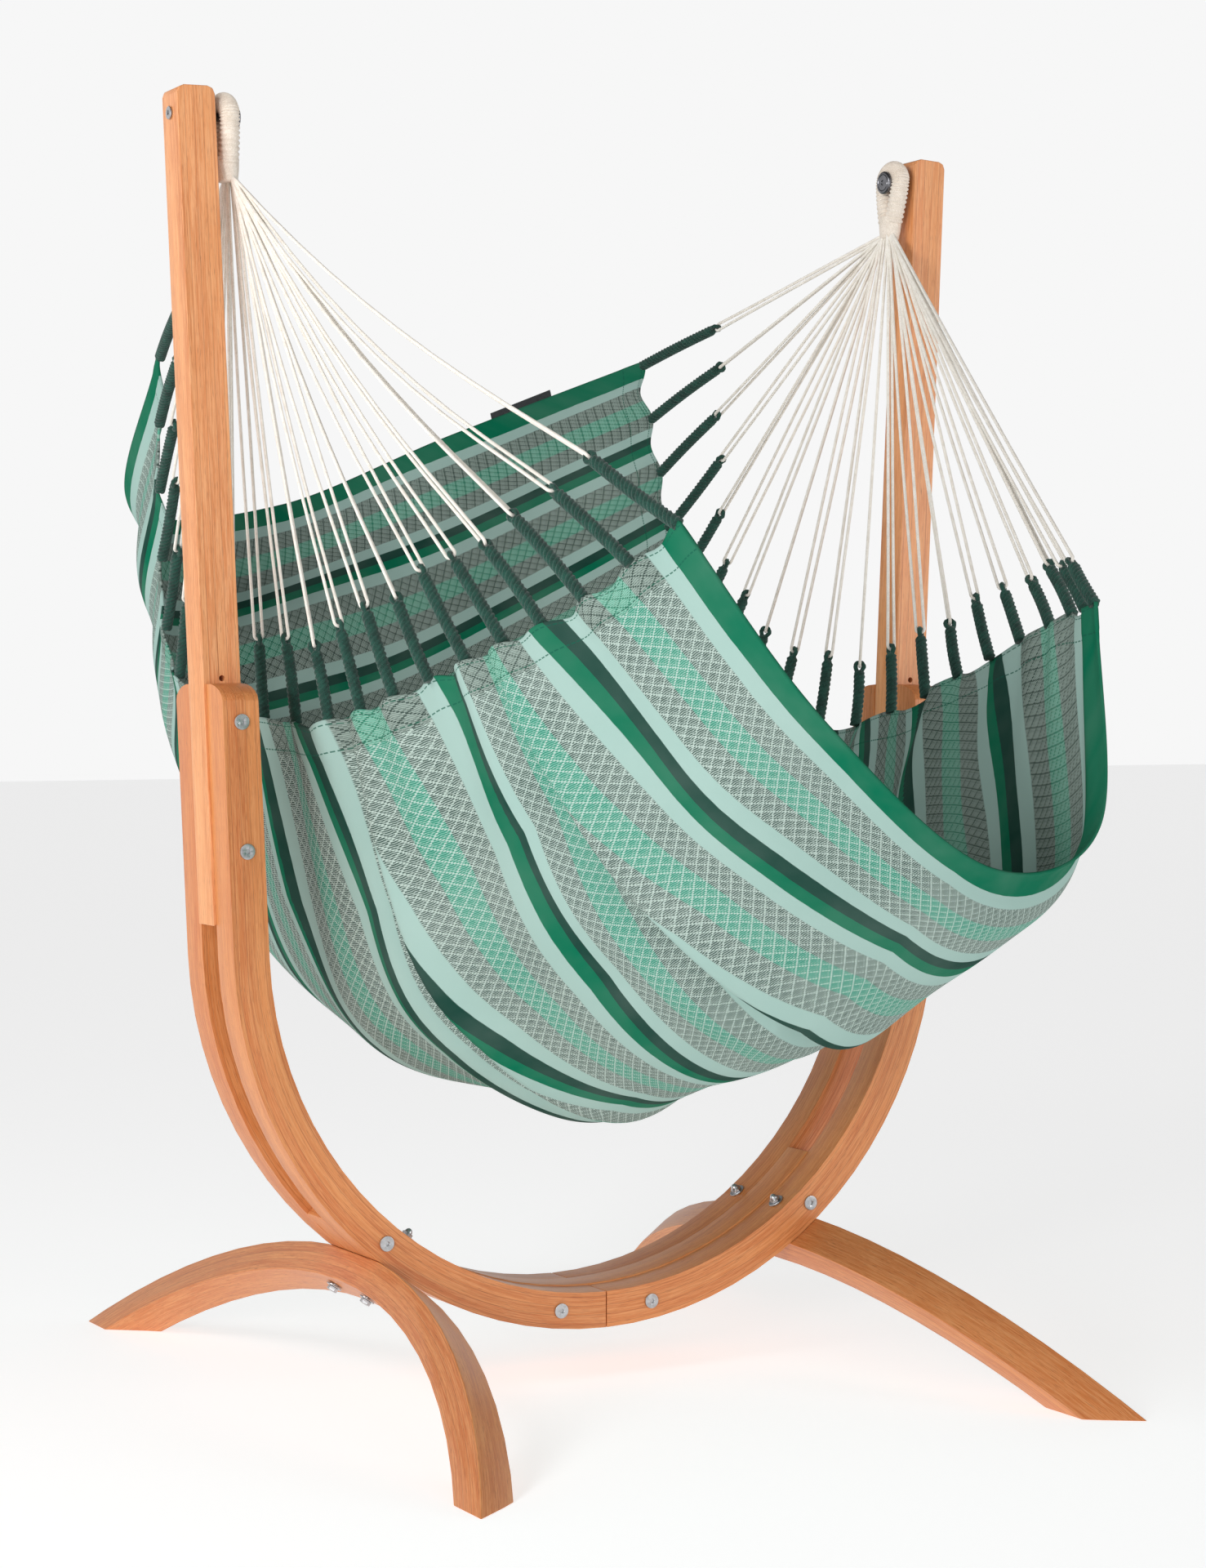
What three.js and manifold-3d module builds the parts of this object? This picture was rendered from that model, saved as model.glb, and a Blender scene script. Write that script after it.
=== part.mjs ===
// Hammock on a laminated timber stand, in millimetres.
// +X runs along the span between the two uprights, +Y to the back, +Z up.
// The origin lies on the floor, halfway between the uprights.
import * as THREE from "three";
import { mergeVertices } from "three/addons/utils/BufferGeometryUtils.js";
import Module from "manifold-3d";

// ---- driving dimensions ----

const TOUCH_GAP = 0.3; // gap between faces that touch

// The U of the stand: two halves of twin curved beams on one centre arc.
const ARC_RADIUS = 560; // centre line of the curved beams
const ARC_CENTRE_Z = 662;
const LEAN = THREE.MathUtils.degToRad(2.5); // outward lean of the straight parts
const BEAM_DEPTH = 53; // radial
const BEAM_WIDTH = 56; // along Y
const BEAM_STRAIGHT = 381; // straight length above the arc
const BEAM_TOP_DROP = 24; // height of the rounding on the beam tops
const BEAM_TOP_STEPS = 5;
const SPLICE_GAP = 2; // joint between the left and right halves
const ARC_STEPS = 20; // facets in a quarter turn

const UPRIGHT_DEPTH = 56;
const UPRIGHT_WIDTH = 55; // along Y, the clear space between twin beams
const UPRIGHT_OFFSET = 2.4; // outward of the beams' centre line
const UPRIGHT_FOOT = 46; // lower end, measured from the end of the arc
const UPRIGHT_TOP = 1200; // upper end, measured from the end of the arc
const UPRIGHT_BEVEL = 26; // slope of the lower end
const UPRIGHT_TOP_RADIUS = 11;

const SPACER_END = THREE.MathUtils.degToRad(47);
const SPACER_PROUD = 2; // stands out of the beams' inner face
const SPACER_STEPS = 22;

// The leg arches, square to the U where they are bolted on.
const LEG_ANGLE = THREE.MathUtils.degToRad(36); // from straight down
const LEG_RADIUS = 1046; // upper face
const LEG_DEPTH = 48;
const LEG_WIDTH = 59;
const LEG_SEAT = 4; // how far the beams are let into the arch
const LEG_STEPS = 26;
const LEG_SWEEP = THREE.MathUtils.degToRad(50); // each side of the crown

// Cutters reach past the pieces they cut.
const CROSS_CUT = 150;
const LEG_CUT_INSIDE = 100;
const LEG_CUT_BELOW = 130;
const HANGER_CUT_FROM = 400;
const HANGER_CUT_TO = 800;
const ADJUST_CUT = 60;
const TOP_CUT_PAST = 20;
const TOP_CUT_RISE = 60;
const TOP_CUT_LENGTH = 160;
const SEAT_CUT_PAST = 40;
const SEAT_SIDES = 120;
const FLOOR_CUT = 3000;
const FLOOR_CUT_DEPTH = 1000;
const SOCKET_CUT = 5;

// Fasteners.
const ROD_RADIUS = 4;
const SLEEVE_RADIUS = 6;
const HEAD_RADIUS = 11;
const HEAD_THICKNESS = 2.6;
const HEAD_EDGE = 1;
const SOCKET_RADIUS = 3.5; // across the corners of the hexagon
const SOCKET_DEPTH = 1.8;
const HEAD_SIDES = 12;
const ROD_SIDES = 10;
const FACETED = 1 / Math.cos(Math.PI / ROD_SIDES); // a faceted bore clears a round rod
const ROD_BORE = ROD_RADIUS * FACETED + TOUCH_GAP;
const SLEEVE_BORE = SLEEVE_RADIUS * FACETED + TOUCH_GAP;
const ROD_REACH = 125; // cross bolt's rod
const SLEEVE_REACH = 78; // sleeve nut's barrel
const BARREL_FROM = 12; // the barrel is solid down to this depth
const BOLT_STATIONS = [328, 150]; // on the straight part, from the end of the arc
const BOLT_ANGLES = [39.5, 7.8].map(THREE.MathUtils.degToRad); // on the arc
const NUT_RADIUS = 7.5; // across the corners
const NUT_HEIGHT = 8;
const HEXAGON = 6;
const WASHER_RADIUS = 12;
const WASHER_THICKNESS = 2;
const ARCH_CLEARANCE = 2.5; // between the leg's curved underside and its washers
const INNER_CLEARANCE = 1; // between the beams' inner curve and the washers there
const LEG_HEAD_HEIGHT = 6;
const SHANK_PAST_NUT = 6;
const BORE_PAST = 5; // a bore's cutter starts this far outside the piece
const CAP_BORE_DEPTH = 7;

// The hangers near the tops of the uprights.
const HANGER_Z = 1800;
const PEG_RADIUS = 6;
const PEG_REACH = 34; // from the upright's inner face to the disc
const DISC_RADIUS = 17.5;
const DISC_THICKNESS = 7;
const DISC_EDGE = 1.5;
const DISC_RIM = 2;
const COLLAR_REACH = 3; // how far the peg's collar stands out round the peg
const COLLAR_FROM = 0.5;
const COLLAR_TO = 2.5;
const PEG_THREAD = 38; // depth of the peg's thread inside the upright
const SLEEVE_DEPTH = 45;
const SLEEVE_THREAD_FROM = 8;
const SLEEVE_LIP = 9; // radius of the sleeve's lip
const SLEEVE_LIP_EDGE = 8;
const SLEEVE_LIP_RISE = 1.6;
const SLEEVE_RISE = 2.4;
const DISC_SIDES = 20;
const ADJUST_HOLE_RADIUS = 4.5;
const ADJUST_HOLE_STATION = 388;

// The hammock.
const FABRIC_THICKNESS = 2.4;
const FABRIC_COLUMNS = 12; // along the stripes
const FABRIC_ROWS = 28; // across them
const CLOTH_MARGIN = 0.017; // the cloth stops this share short of the end hems
const LOOP_X = 563; // top of each eye loop, on its peg
const NECK_X = 556; // where the cords fan out below each loop
const NECK_Z = 1712;
const NECK_RADIUS = 9;
const LOOP_RADIUS = 24; // centre line of the loop's upper bend
const LOOP_CORD_RADIUS = 8.5;
const LOOP_SLACK = 1; // between the peg and the crown of the loop
const LOOP_NECK = 16; // from the fan's top to where the two sides of the loop meet
const LOOP_LEAD = 4; // the neck reaches this far up between the two sides
const LOOP_WAIST = 0.72; // half width of the loop at its waist, as a share of LOOP_RADIUS
const LOOP_WAIST_RISE = 6; // the waist lies this far above the middle of the loop's sides
const LOOP_BENDS = 4; // steps round each side of the upper bend
const LOOP_LAP = 0.12; // angle by which the two sides pass each other at the crown
const LOOP_SIDES = 8;
const LOOP_STEPS = 14;
const CORD_COUNT = 20; // doubled cords at each end
const CORD_RADIUS = 3;
const CORD_SIDES = 4;
const ROPE_RADIUS = 6;
const HEM_RADIUS = 5;
const HEM_STEPS = 26;
const FAN_NECK_TOP = 1; // the gathered neck of the fan runs between these depths below the loop
const FAN_NECK_LOW = 14;
const FAN_START = 8; // depth at which the cords leave the neck
const FAN_SIDES = 12;
const CORD_GAP = 1; // between a cord's end and its rope
const ROPE_SIDES = 5;
const ROPE_INSET = 0.004; // share of the hem between the first rope and the corner
const ROPE_UNEVEN = 8;
const ROPE_UNEVEN_PACE = 2.3;
const LEFT_ROPE = 115; // shortest rope at the left end, in the middle of the hem
const LEFT_ROPE_GAIN = 70; // the corner ropes are longer by this much
const RIGHT_ROPE = 105; // length of the ropes along the front half of the right end
const RIGHT_ROPE_GAIN = 95; // the back corner rope is longer by this much

const HANG_TILT = 0.086; // shear that brings the weight of the cloth under the pegs

// Rows of the cloth from the back hem to the front hem, each with five points
// from the left end to the right end, before the shear.
const CLOTH = [
  [[-442, 568, 1537], [-400, 820, 1305], [-35, 1046.8, 1335], [235, 895, 1460], [450, 600, 1572]],
  [[-450, 570, 1290], [-418, 670, 1090], [-85, 780, 1120], [205, 725, 1220], [450, 550, 1350]],
  [[-452, 530, 1050], [-408, 590, 860], [-90, 645, 865], [210, 615, 970], [448, 490, 1130]],
  [[-448, 300, 985], [-365, 410, 610], [-85, 460, 565], [210, 425, 690], [440, 300, 990]],
  [[-445, 40, 966], [-335, 110, 545], [-65, 120, 412], [228, 120, 550], [432, 30, 955]],
  [[-445, -215, 1000], [-310, -155, 592], [-52, -190, 436], [232, -170, 590], [426, -205, 1000]],
  [[-435, -450, 1055], [-295, -455, 705], [-35, -480, 523], [232, -468, 690], [415, -410, 1065]],
  [[-405, -645, 1110], [-268, -755, 840], [-2, -765, 650], [238, -708, 752], [398, -590, 1110]],
  [[-345, -815, 1209], [-220, -925, 965], [26, -900, 792], [256, -822, 838], [332, -735, 1125]],
];

// ---- materials ----

const material = (color, roughness, metalness = 0) =>
  new THREE.MeshStandardMaterial({ color, roughness, metalness });
const timber = () => material(0xc9773a, 0.5);
const steel = () => material(0x9a9a9c, 0.3, 1);
const cotton = () => material(0xe9e2d6, 0.9);
const greenRope = () => material(0x17453a, 0.85);
const cloth = () => material(0x5fa58c, 0.9);

// ---- solids ----

const wasm = await Module();
wasm.setup();

function solid(geometry) {
  const plain = geometry.clone();
  plain.deleteAttribute("normal");
  plain.deleteAttribute("uv");
  const merged = mergeVertices(plain, 1e-4);
  return new wasm.Manifold(
    new wasm.Mesh({
      numProp: 3,
      vertProperties: new Float32Array(merged.attributes.position.array),
      triVerts: new Uint32Array(merged.index.array),
    }),
  );
}

function geometryOf(manifold) {
  const mesh = manifold.getMesh();
  const geometry = new THREE.BufferGeometry();
  geometry.setAttribute("position", new THREE.BufferAttribute(new Float32Array(mesh.vertProperties), 3));
  geometry.setIndex(new THREE.BufferAttribute(new Uint32Array(mesh.triVerts), 1));
  geometry.computeVertexNormals();
  return geometry;
}

const hammockOnStand = new THREE.Group();
const LATHE_AXIS = new THREE.Vector3(0, 1, 0);

function addNode(name, manifold, look) {
  const mesh = new THREE.Mesh(geometryOf(manifold), look());
  mesh.name = name;
  hammockOnStand.add(mesh);
}

// A rod between two points, with flat ends.
function rod(start, end, radius, sides) {
  const length = start.distanceTo(end);
  const geometry = new THREE.CylinderGeometry(radius, radius, length, sides);
  const direction = end.clone().sub(start).normalize();
  const turn = new THREE.Quaternion().setFromUnitVectors(LATHE_AXIS, direction);
  geometry.applyQuaternion(turn);
  const middle = start.clone().lerp(end, 0.5);
  geometry.translate(middle.x, middle.y, middle.z);
  return solid(geometry);
}

// A turned piece along a direction from a point, given as [radius, distance] pairs.
function turned(profile, origin, direction, sides) {
  const points = profile.map(([r, d]) => new THREE.Vector2(r, d));
  const turn = new THREE.Quaternion().setFromUnitVectors(LATHE_AXIS, direction);
  const geometry = new THREE.LatheGeometry(points, sides);
  geometry.applyQuaternion(turn);
  geometry.translate(origin.x, origin.y, origin.z);
  const made = solid(geometry);
  if (made.volume() >= 0) return made;
  const reversed = new THREE.LatheGeometry(points.reverse(), sides);
  reversed.applyQuaternion(turn);
  reversed.translate(origin.x, origin.y, origin.z);
  return solid(reversed);
}

// A round tube along an open smooth curve, with flat ends.
function tube(points, radius, sides, steps) {
  const section = new THREE.Shape();
  for (let i = 0; i < sides; i++) {
    const turn = (i / sides) * 2 * Math.PI;
    const corner = [radius * Math.cos(turn), radius * Math.sin(turn)];
    if (i) section.lineTo(...corner);
    else section.moveTo(...corner);
  }
  section.closePath();
  const extrudePath = new THREE.CatmullRomCurve3(points);
  return solid(new THREE.ExtrudeGeometry(section, { steps, extrudePath, bevelEnabled: false }));
}

// A flat outline in the XZ plane, given width along Y from y = from to y = to.
function slab(outline, from, to) {
  const shape = new THREE.Shape(outline.map(([x, z]) => new THREE.Vector2(x, z)));
  const geometry = new THREE.ExtrudeGeometry(shape, { depth: to - from, bevelEnabled: false });
  geometry.rotateX(Math.PI / 2); // the outline's second axis becomes Z, its depth becomes -Y
  geometry.translate(0, to, 0);
  return solid(geometry);
}

// ---- places on the U ----

const ARC_TURN = Math.PI / 2 - LEAN; // where the arc ends and the straight part starts

// A point of the U in the XZ plane: side is -1 or 1, offset is outward from the centre line.
function arcPoint(side, angle, offset) {
  const radius = ARC_RADIUS + offset;
  return [side * radius * Math.sin(angle), ARC_CENTRE_Z - radius * Math.cos(angle)];
}

function straightPoint(side, station, offset) {
  const [x, z] = arcPoint(1, ARC_TURN, offset);
  return [side * (x + station * Math.sin(LEAN)), z + station * Math.cos(LEAN)];
}

const at = ([x, z], y) => new THREE.Vector3(x, y, z);
const radial = (side, angle) => new THREE.Vector3(side * Math.sin(angle), 0, -Math.cos(angle));

const BEAM_INNER_Y = UPRIGHT_WIDTH / 2 + TOUCH_GAP;
const BEAM_OUTER_Y = BEAM_INNER_Y + BEAM_WIDTH;

// Bores for the cross bolts on one side of the stand.
const boltPlaces = (side) => [
  ...BOLT_STATIONS.map((station) => straightPoint(side, station, 0)),
  ...BOLT_ANGLES.map((angle) => arcPoint(side, angle, 0)),
];

function boltBores(side) {
  return boltPlaces(side).map((place) =>
    rod(at(place, -CROSS_CUT), at(place, CROSS_CUT), SLEEVE_BORE, ROD_SIDES),
  );
}

const LEG_BOLT_Y = BEAM_INNER_Y + BEAM_WIDTH / 2;

function legBores(side) {
  return [-1, 1].map((end) =>
    rod(
      at(arcPoint(side, LEG_ANGLE, -LEG_CUT_INSIDE), end * LEG_BOLT_Y),
      at(arcPoint(side, LEG_ANGLE, LEG_CUT_BELOW), end * LEG_BOLT_Y),
      ROD_BORE,
      ROD_SIDES,
    ),
  );
}

const without = (body, cutters) => cutters.reduce((left, cutter) => left.subtract(cutter), body);

// ---- the stand ----

function beamOutline(side) {
  const half = BEAM_DEPTH / 2;
  const outer = [];
  const inner = [];
  for (let i = 0; i <= ARC_STEPS; i++) {
    const share = i / ARC_STEPS;
    const start = (r) => Math.asin(SPLICE_GAP / 2 / r);
    const angle = (r) => start(r) + (ARC_TURN - start(r)) * share;
    outer.push(arcPoint(side, angle(ARC_RADIUS + half), half));
    inner.push(arcPoint(side, angle(ARC_RADIUS - half), -half));
  }
  outer.push(straightPoint(side, BEAM_STRAIGHT, half));
  inner.push(straightPoint(side, BEAM_STRAIGHT, -half));
  return [...outer, ...inner.reverse()];
}

// What lies above the rounded top of a beam: end is -1 in front and 1 at the back.
function beamTopCutter(side, end) {
  const base = straightPoint(1, BEAM_STRAIGHT, 0)[1] - BEAM_TOP_DROP;
  const points = [];
  for (let i = 0; i <= BEAM_TOP_STEPS; i++) {
    const turn = (i / BEAM_TOP_STEPS) * (Math.PI / 2);
    points.push([
      BEAM_INNER_Y + BEAM_WIDTH * Math.sin(turn),
      base + BEAM_TOP_DROP * Math.cos(turn),
    ]);
  }
  const beyond = BEAM_OUTER_Y + TOP_CUT_PAST;
  const above = base + TOP_CUT_RISE;
  points.push([beyond, base], [beyond, above], [BEAM_INNER_Y, above]);
  const shape = new THREE.Shape(points.map(([y, z]) => new THREE.Vector2(y, z)));
  const geometry = new THREE.ExtrudeGeometry(shape, { depth: TOP_CUT_LENGTH, bevelEnabled: false });
  geometry.rotateX(Math.PI / 2);
  geometry.rotateZ((end * Math.PI) / 2); // the profile's first axis turns to the Y axis
  const x = straightPoint(side, BEAM_STRAIGHT, 0)[0];
  geometry.computeBoundingBox();
  const middle = geometry.boundingBox.getCenter(new THREE.Vector3());
  geometry.translate(x - middle.x, 0, 0);
  return solid(geometry);
}

function curvedBeam(side, end) {
  const [from, to] = end < 0 ? [-BEAM_OUTER_Y, -BEAM_INNER_Y] : [BEAM_INNER_Y, BEAM_OUTER_Y];
  const body = slab(beamOutline(side), from, to);
  return without(body, [beamTopCutter(side, end), ...boltBores(side), ...legBores(side)]);
}

function upright(side) {
  const inner = UPRIGHT_OFFSET - UPRIGHT_DEPTH / 2;
  const outer = UPRIGHT_OFFSET + UPRIGHT_DEPTH / 2;
  const r = UPRIGHT_TOP_RADIUS;
  const corner = (offset, sign) =>
    [0, 0.5, 1].map((share) => {
      const turn = (share * Math.PI) / 2;
      return straightPoint(
        side,
        UPRIGHT_TOP - r + r * Math.sin(turn),
        offset - sign * (r - r * Math.cos(turn)),
      );
    });
  const outline = [
    straightPoint(side, UPRIGHT_FOOT + UPRIGHT_BEVEL, inner),
    straightPoint(side, UPRIGHT_FOOT, outer),
    ...corner(outer, 1),
    ...corner(inner, -1).reverse(),
  ];
  const body = slab(outline, -UPRIGHT_WIDTH / 2, UPRIGHT_WIDTH / 2);
  const hangerBore = rod(
    new THREE.Vector3(side * HANGER_CUT_FROM, 0, HANGER_Z),
    new THREE.Vector3(side * HANGER_CUT_TO, 0, HANGER_Z),
    SLEEVE_BORE,
    ROD_SIDES,
  );
  const adjustPlace = straightPoint(side, ADJUST_HOLE_STATION, UPRIGHT_OFFSET);
  const adjustHole = rod(
    at(adjustPlace, -ADJUST_CUT),
    at(adjustPlace, ADJUST_CUT),
    ADJUST_HOLE_RADIUS,
    ROD_SIDES,
  );
  return without(body, [hangerBore, adjustHole, ...boltBores(side)]);
}

function centreSpacer() {
  const half = BEAM_DEPTH / 2;
  const outer = [];
  const inner = [];
  for (let i = 0; i <= SPACER_STEPS; i++) {
    const angle = -SPACER_END + (2 * SPACER_END * i) / SPACER_STEPS;
    outer.push(arcPoint(1, angle, half));
    inner.push(arcPoint(1, angle, -half - SPACER_PROUD));
  }
  const body = slab([...outer, ...inner.reverse()], -UPRIGHT_WIDTH / 2, UPRIGHT_WIDTH / 2);
  return without(body, [...boltBores(-1), ...boltBores(1)]);
}

// The arch is drawn with its width along Z and its crown at the top, then laid
// square to the U. The beams' round underside and the floor are cut off it.
function legArch(side) {
  const points = [];
  for (let i = 0; i <= LEG_STEPS; i++) {
    const turn = LEG_SWEEP * ((2 * i) / LEG_STEPS - 1);
    points.push(new THREE.Vector2(LEG_RADIUS * Math.sin(turn), LEG_RADIUS * Math.cos(turn)));
  }
  const innerRadius = LEG_RADIUS - LEG_DEPTH;
  for (let i = LEG_STEPS; i >= 0; i--) {
    const turn = LEG_SWEEP * ((2 * i) / LEG_STEPS - 1);
    points.push(new THREE.Vector2(innerRadius * Math.sin(turn), innerRadius * Math.cos(turn)));
  }
  const geometry = new THREE.ExtrudeGeometry(new THREE.Shape(points), {
    depth: LEG_WIDTH,
    bevelEnabled: false,
  });
  geometry.translate(0, -LEG_RADIUS, -LEG_WIDTH / 2);
  const down = radial(side, LEG_ANGLE);
  const across = new THREE.Vector3(Math.cos(LEG_ANGLE), 0, side * Math.sin(LEG_ANGLE));
  const along = new THREE.Vector3().crossVectors(down.clone().negate(), across);
  const crown = at(arcPoint(side, LEG_ANGLE, BEAM_DEPTH / 2 - LEG_SEAT), 0);
  const place = new THREE.Matrix4().makeBasis(along, down.clone().negate(), across).setPosition(crown);
  geometry.applyMatrix4(place);
  const seatEnd = BEAM_OUTER_Y + SEAT_CUT_PAST;
  const seat = rod(
    new THREE.Vector3(0, -seatEnd, ARC_CENTRE_Z),
    new THREE.Vector3(0, seatEnd, ARC_CENTRE_Z),
    ARC_RADIUS + BEAM_DEPTH / 2 + 2 * TOUCH_GAP,
    SEAT_SIDES,
  );
  const floor = new THREE.BoxGeometry(FLOOR_CUT, FLOOR_CUT, FLOOR_CUT_DEPTH);
  floor.translate(0, 0, -FLOOR_CUT_DEPTH / 2);
  return without(solid(geometry), [seat, solid(floor), ...legBores(side)]);
}

// ---- fasteners ----

const hexSocket = (origin, direction) =>
  rod(
    origin.clone().addScaledVector(direction, -SOCKET_DEPTH),
    origin.clone().addScaledVector(direction, SOCKET_CUT),
    SOCKET_RADIUS,
    HEXAGON,
  );

const FRONT = new THREE.Vector3(0, -1, 0);
const BACK = new THREE.Vector3(0, 1, 0);

// A flat head with a socket, on a rod that points the other way.
function crossBolt(place) {
  const seat = at(place, -BEAM_OUTER_Y - TOUCH_GAP);
  const profile = [
    [0, -ROD_REACH],
    [ROD_RADIUS, -ROD_REACH],
    [ROD_RADIUS, 0],
    [HEAD_RADIUS, 0],
    [HEAD_RADIUS, HEAD_THICKNESS - HEAD_EDGE],
    [HEAD_RADIUS - HEAD_EDGE, HEAD_THICKNESS],
    [0, HEAD_THICKNESS],
  ];
  const face = seat.clone().addScaledVector(FRONT, HEAD_THICKNESS);
  return turned(profile, seat, FRONT, HEAD_SIDES).subtract(hexSocket(face, FRONT));
}

// The matching nut: a flat head on a barrel that is hollow for the rod.
function sleeveNut(place) {
  const seat = at(place, BEAM_OUTER_Y + TOUCH_GAP);
  const profile = [
    [0, -BARREL_FROM],
    [ROD_BORE, -BARREL_FROM],
    [ROD_BORE, -SLEEVE_REACH],
    [SLEEVE_RADIUS, -SLEEVE_REACH],
    [SLEEVE_RADIUS, 0],
    [HEAD_RADIUS, 0],
    [HEAD_RADIUS, HEAD_THICKNESS - HEAD_EDGE],
    [HEAD_RADIUS - HEAD_EDGE, HEAD_THICKNESS],
    [0, HEAD_THICKNESS],
  ];
  const face = seat.clone().addScaledVector(BACK, HEAD_THICKNESS);
  return turned(profile, seat, BACK, HEAD_SIDES).subtract(hexSocket(face, BACK));
}

// Leg fixings: a hexagon head below the arch, a cap nut inside the U.
function legFixing(side, end) {
  const up = radial(side, LEG_ANGLE).negate();
  const station = (offset) => at(arcPoint(side, LEG_ANGLE, offset), end * LEG_BOLT_Y);
  const fall = LEG_RADIUS - Math.sqrt(LEG_RADIUS ** 2 - LEG_BOLT_Y ** 2);
  const under = BEAM_DEPTH / 2 - LEG_SEAT + LEG_DEPTH + fall + ARCH_CLEARANCE;
  const over = -BEAM_DEPTH / 2 - INNER_CLEARANCE;
  const washer = (offset) =>
    rod(
      station(offset),
      station(offset - WASHER_THICKNESS),
      WASHER_RADIUS,
      HEAD_SIDES,
    ).subtract(rod(station(offset + BORE_PAST), station(offset - BORE_PAST), ROD_BORE, ROD_SIDES));
  const headSeat = under + WASHER_THICKNESS + TOUCH_GAP;
  const nutSeat = over - WASHER_THICKNESS - TOUCH_GAP;
  const shankEnd = station(nutSeat - SHANK_PAST_NUT);
  const shank = rod(station(headSeat + 1), shankEnd, ROD_RADIUS, ROD_SIDES);
  const head = rod(station(headSeat + LEG_HEAD_HEIGHT), station(headSeat), NUT_RADIUS, HEXAGON);
  const bolt = head.add(shank);
  const capProfile = [
    [0, 0],
    [NUT_RADIUS, 0],
    [NUT_RADIUS, NUT_HEIGHT * 0.6],
    [NUT_RADIUS * 0.8, NUT_HEIGHT * 0.75],
    [NUT_RADIUS * 0.55, NUT_HEIGHT * 1.25],
    [0, NUT_HEIGHT * 1.45],
  ];
  const boreStart = station(nutSeat + BORE_PAST);
  const bore = rod(boreStart, station(nutSeat - CAP_BORE_DEPTH), ROD_BORE, ROD_SIDES);
  const cap = turned(capProfile, station(nutSeat), up, HEXAGON).subtract(bore);
  return { bolt, cap, lowWasher: washer(under + WASHER_THICKNESS), highWasher: washer(over) };
}

// Hanger: a socket sleeve from outside, and a peg with a disc on its end inside.
const uprightFaceX = (offset) => {
  const [x0, z0] = straightPoint(1, 0, UPRIGHT_OFFSET + offset);
  return x0 + (HANGER_Z - z0) * Math.tan(LEAN);
};

function hanger(side) {
  const out = new THREE.Vector3(side, 0, 0);
  const outside = new THREE.Vector3(side * (uprightFaceX(UPRIGHT_DEPTH / 2) + 1), 0, HANGER_Z);
  const inside = new THREE.Vector3(side * (uprightFaceX(-UPRIGHT_DEPTH / 2) - 1), 0, HANGER_Z);
  const sleeveProfile = [
    [0, -SLEEVE_THREAD_FROM],
    [ROD_BORE, -SLEEVE_THREAD_FROM],
    [ROD_BORE, -SLEEVE_DEPTH],
    [SLEEVE_RADIUS, -SLEEVE_DEPTH],
    [SLEEVE_RADIUS, 0],
    [SLEEVE_LIP, 0],
    [SLEEVE_LIP, SLEEVE_LIP_RISE],
    [SLEEVE_LIP_EDGE, SLEEVE_RISE],
    [0, SLEEVE_RISE],
  ];
  const face = outside.clone().addScaledVector(out, SLEEVE_RISE);
  const sleeve = turned(sleeveProfile, outside, out, HEAD_SIDES).subtract(hexSocket(face, out));
  const collar = PEG_RADIUS + COLLAR_REACH;
  const discFace = -PEG_REACH - DISC_THICKNESS;
  const pegProfile = [
    [0, PEG_THREAD],
    [ROD_RADIUS, PEG_THREAD],
    [ROD_RADIUS, -COLLAR_FROM],
    [collar, -COLLAR_FROM],
    [collar, -COLLAR_TO],
    [PEG_RADIUS, -COLLAR_TO],
    [PEG_RADIUS, -PEG_REACH],
    [DISC_RADIUS - DISC_EDGE, -PEG_REACH],
    [DISC_RADIUS, -PEG_REACH - DISC_EDGE],
    [DISC_RADIUS, discFace + DISC_RIM],
    [DISC_RADIUS - DISC_RIM, discFace],
    [0, discFace],
  ];
  return { sleeve, peg: turned(pegProfile, inside, out, DISC_SIDES) };
}

// ---- the hammock ----

// Point on a smooth curve through evenly spaced points, with t from 0 to 1.
function through(points, t) {
  const last = points.length - 1;
  const place = Math.min(Math.max(t, 0), 1) * last;
  const i = Math.min(Math.floor(place), last - 1);
  const f = place - i;
  const p1 = points[i];
  const p2 = points[i + 1];
  const p0 = points[i - 1] ?? p1.clone().multiplyScalar(2).sub(p2);
  const p3 = points[i + 2] ?? p2.clone().multiplyScalar(2).sub(p1);
  const weights = [
    -0.5 * f ** 3 + f ** 2 - 0.5 * f,
    1.5 * f ** 3 - 2.5 * f ** 2 + 1,
    -1.5 * f ** 3 + 2 * f ** 2 + 0.5 * f,
    0.5 * f ** 3 - 0.5 * f ** 2,
  ];
  const result = new THREE.Vector3();
  [p0, p1, p2, p3].forEach((p, k) => result.addScaledVector(p, weights[k]));
  return result;
}

const hung = ([x, y, z]) => new THREE.Vector3(x, y - HANG_TILT * (HANGER_Z - z), z);
const clothColumns = [0, 1, 2, 3, 4].map((c) => CLOTH.map((row) => hung(row[c])));

// u runs along the stripes from left to right, v from the back hem to the front hem.
const clothPoint = (u, v) => through(clothColumns.map((column) => through(column, v)), u);

function clothNormal(u, v) {
  const step = 1e-3;
  const du = clothPoint(Math.min(u + step, 1), v).sub(clothPoint(Math.max(u - step, 0), v));
  const dv = clothPoint(u, Math.min(v + step, 1)).sub(clothPoint(u, Math.max(v - step, 0)));
  return du.cross(dv).normalize();
}

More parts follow.
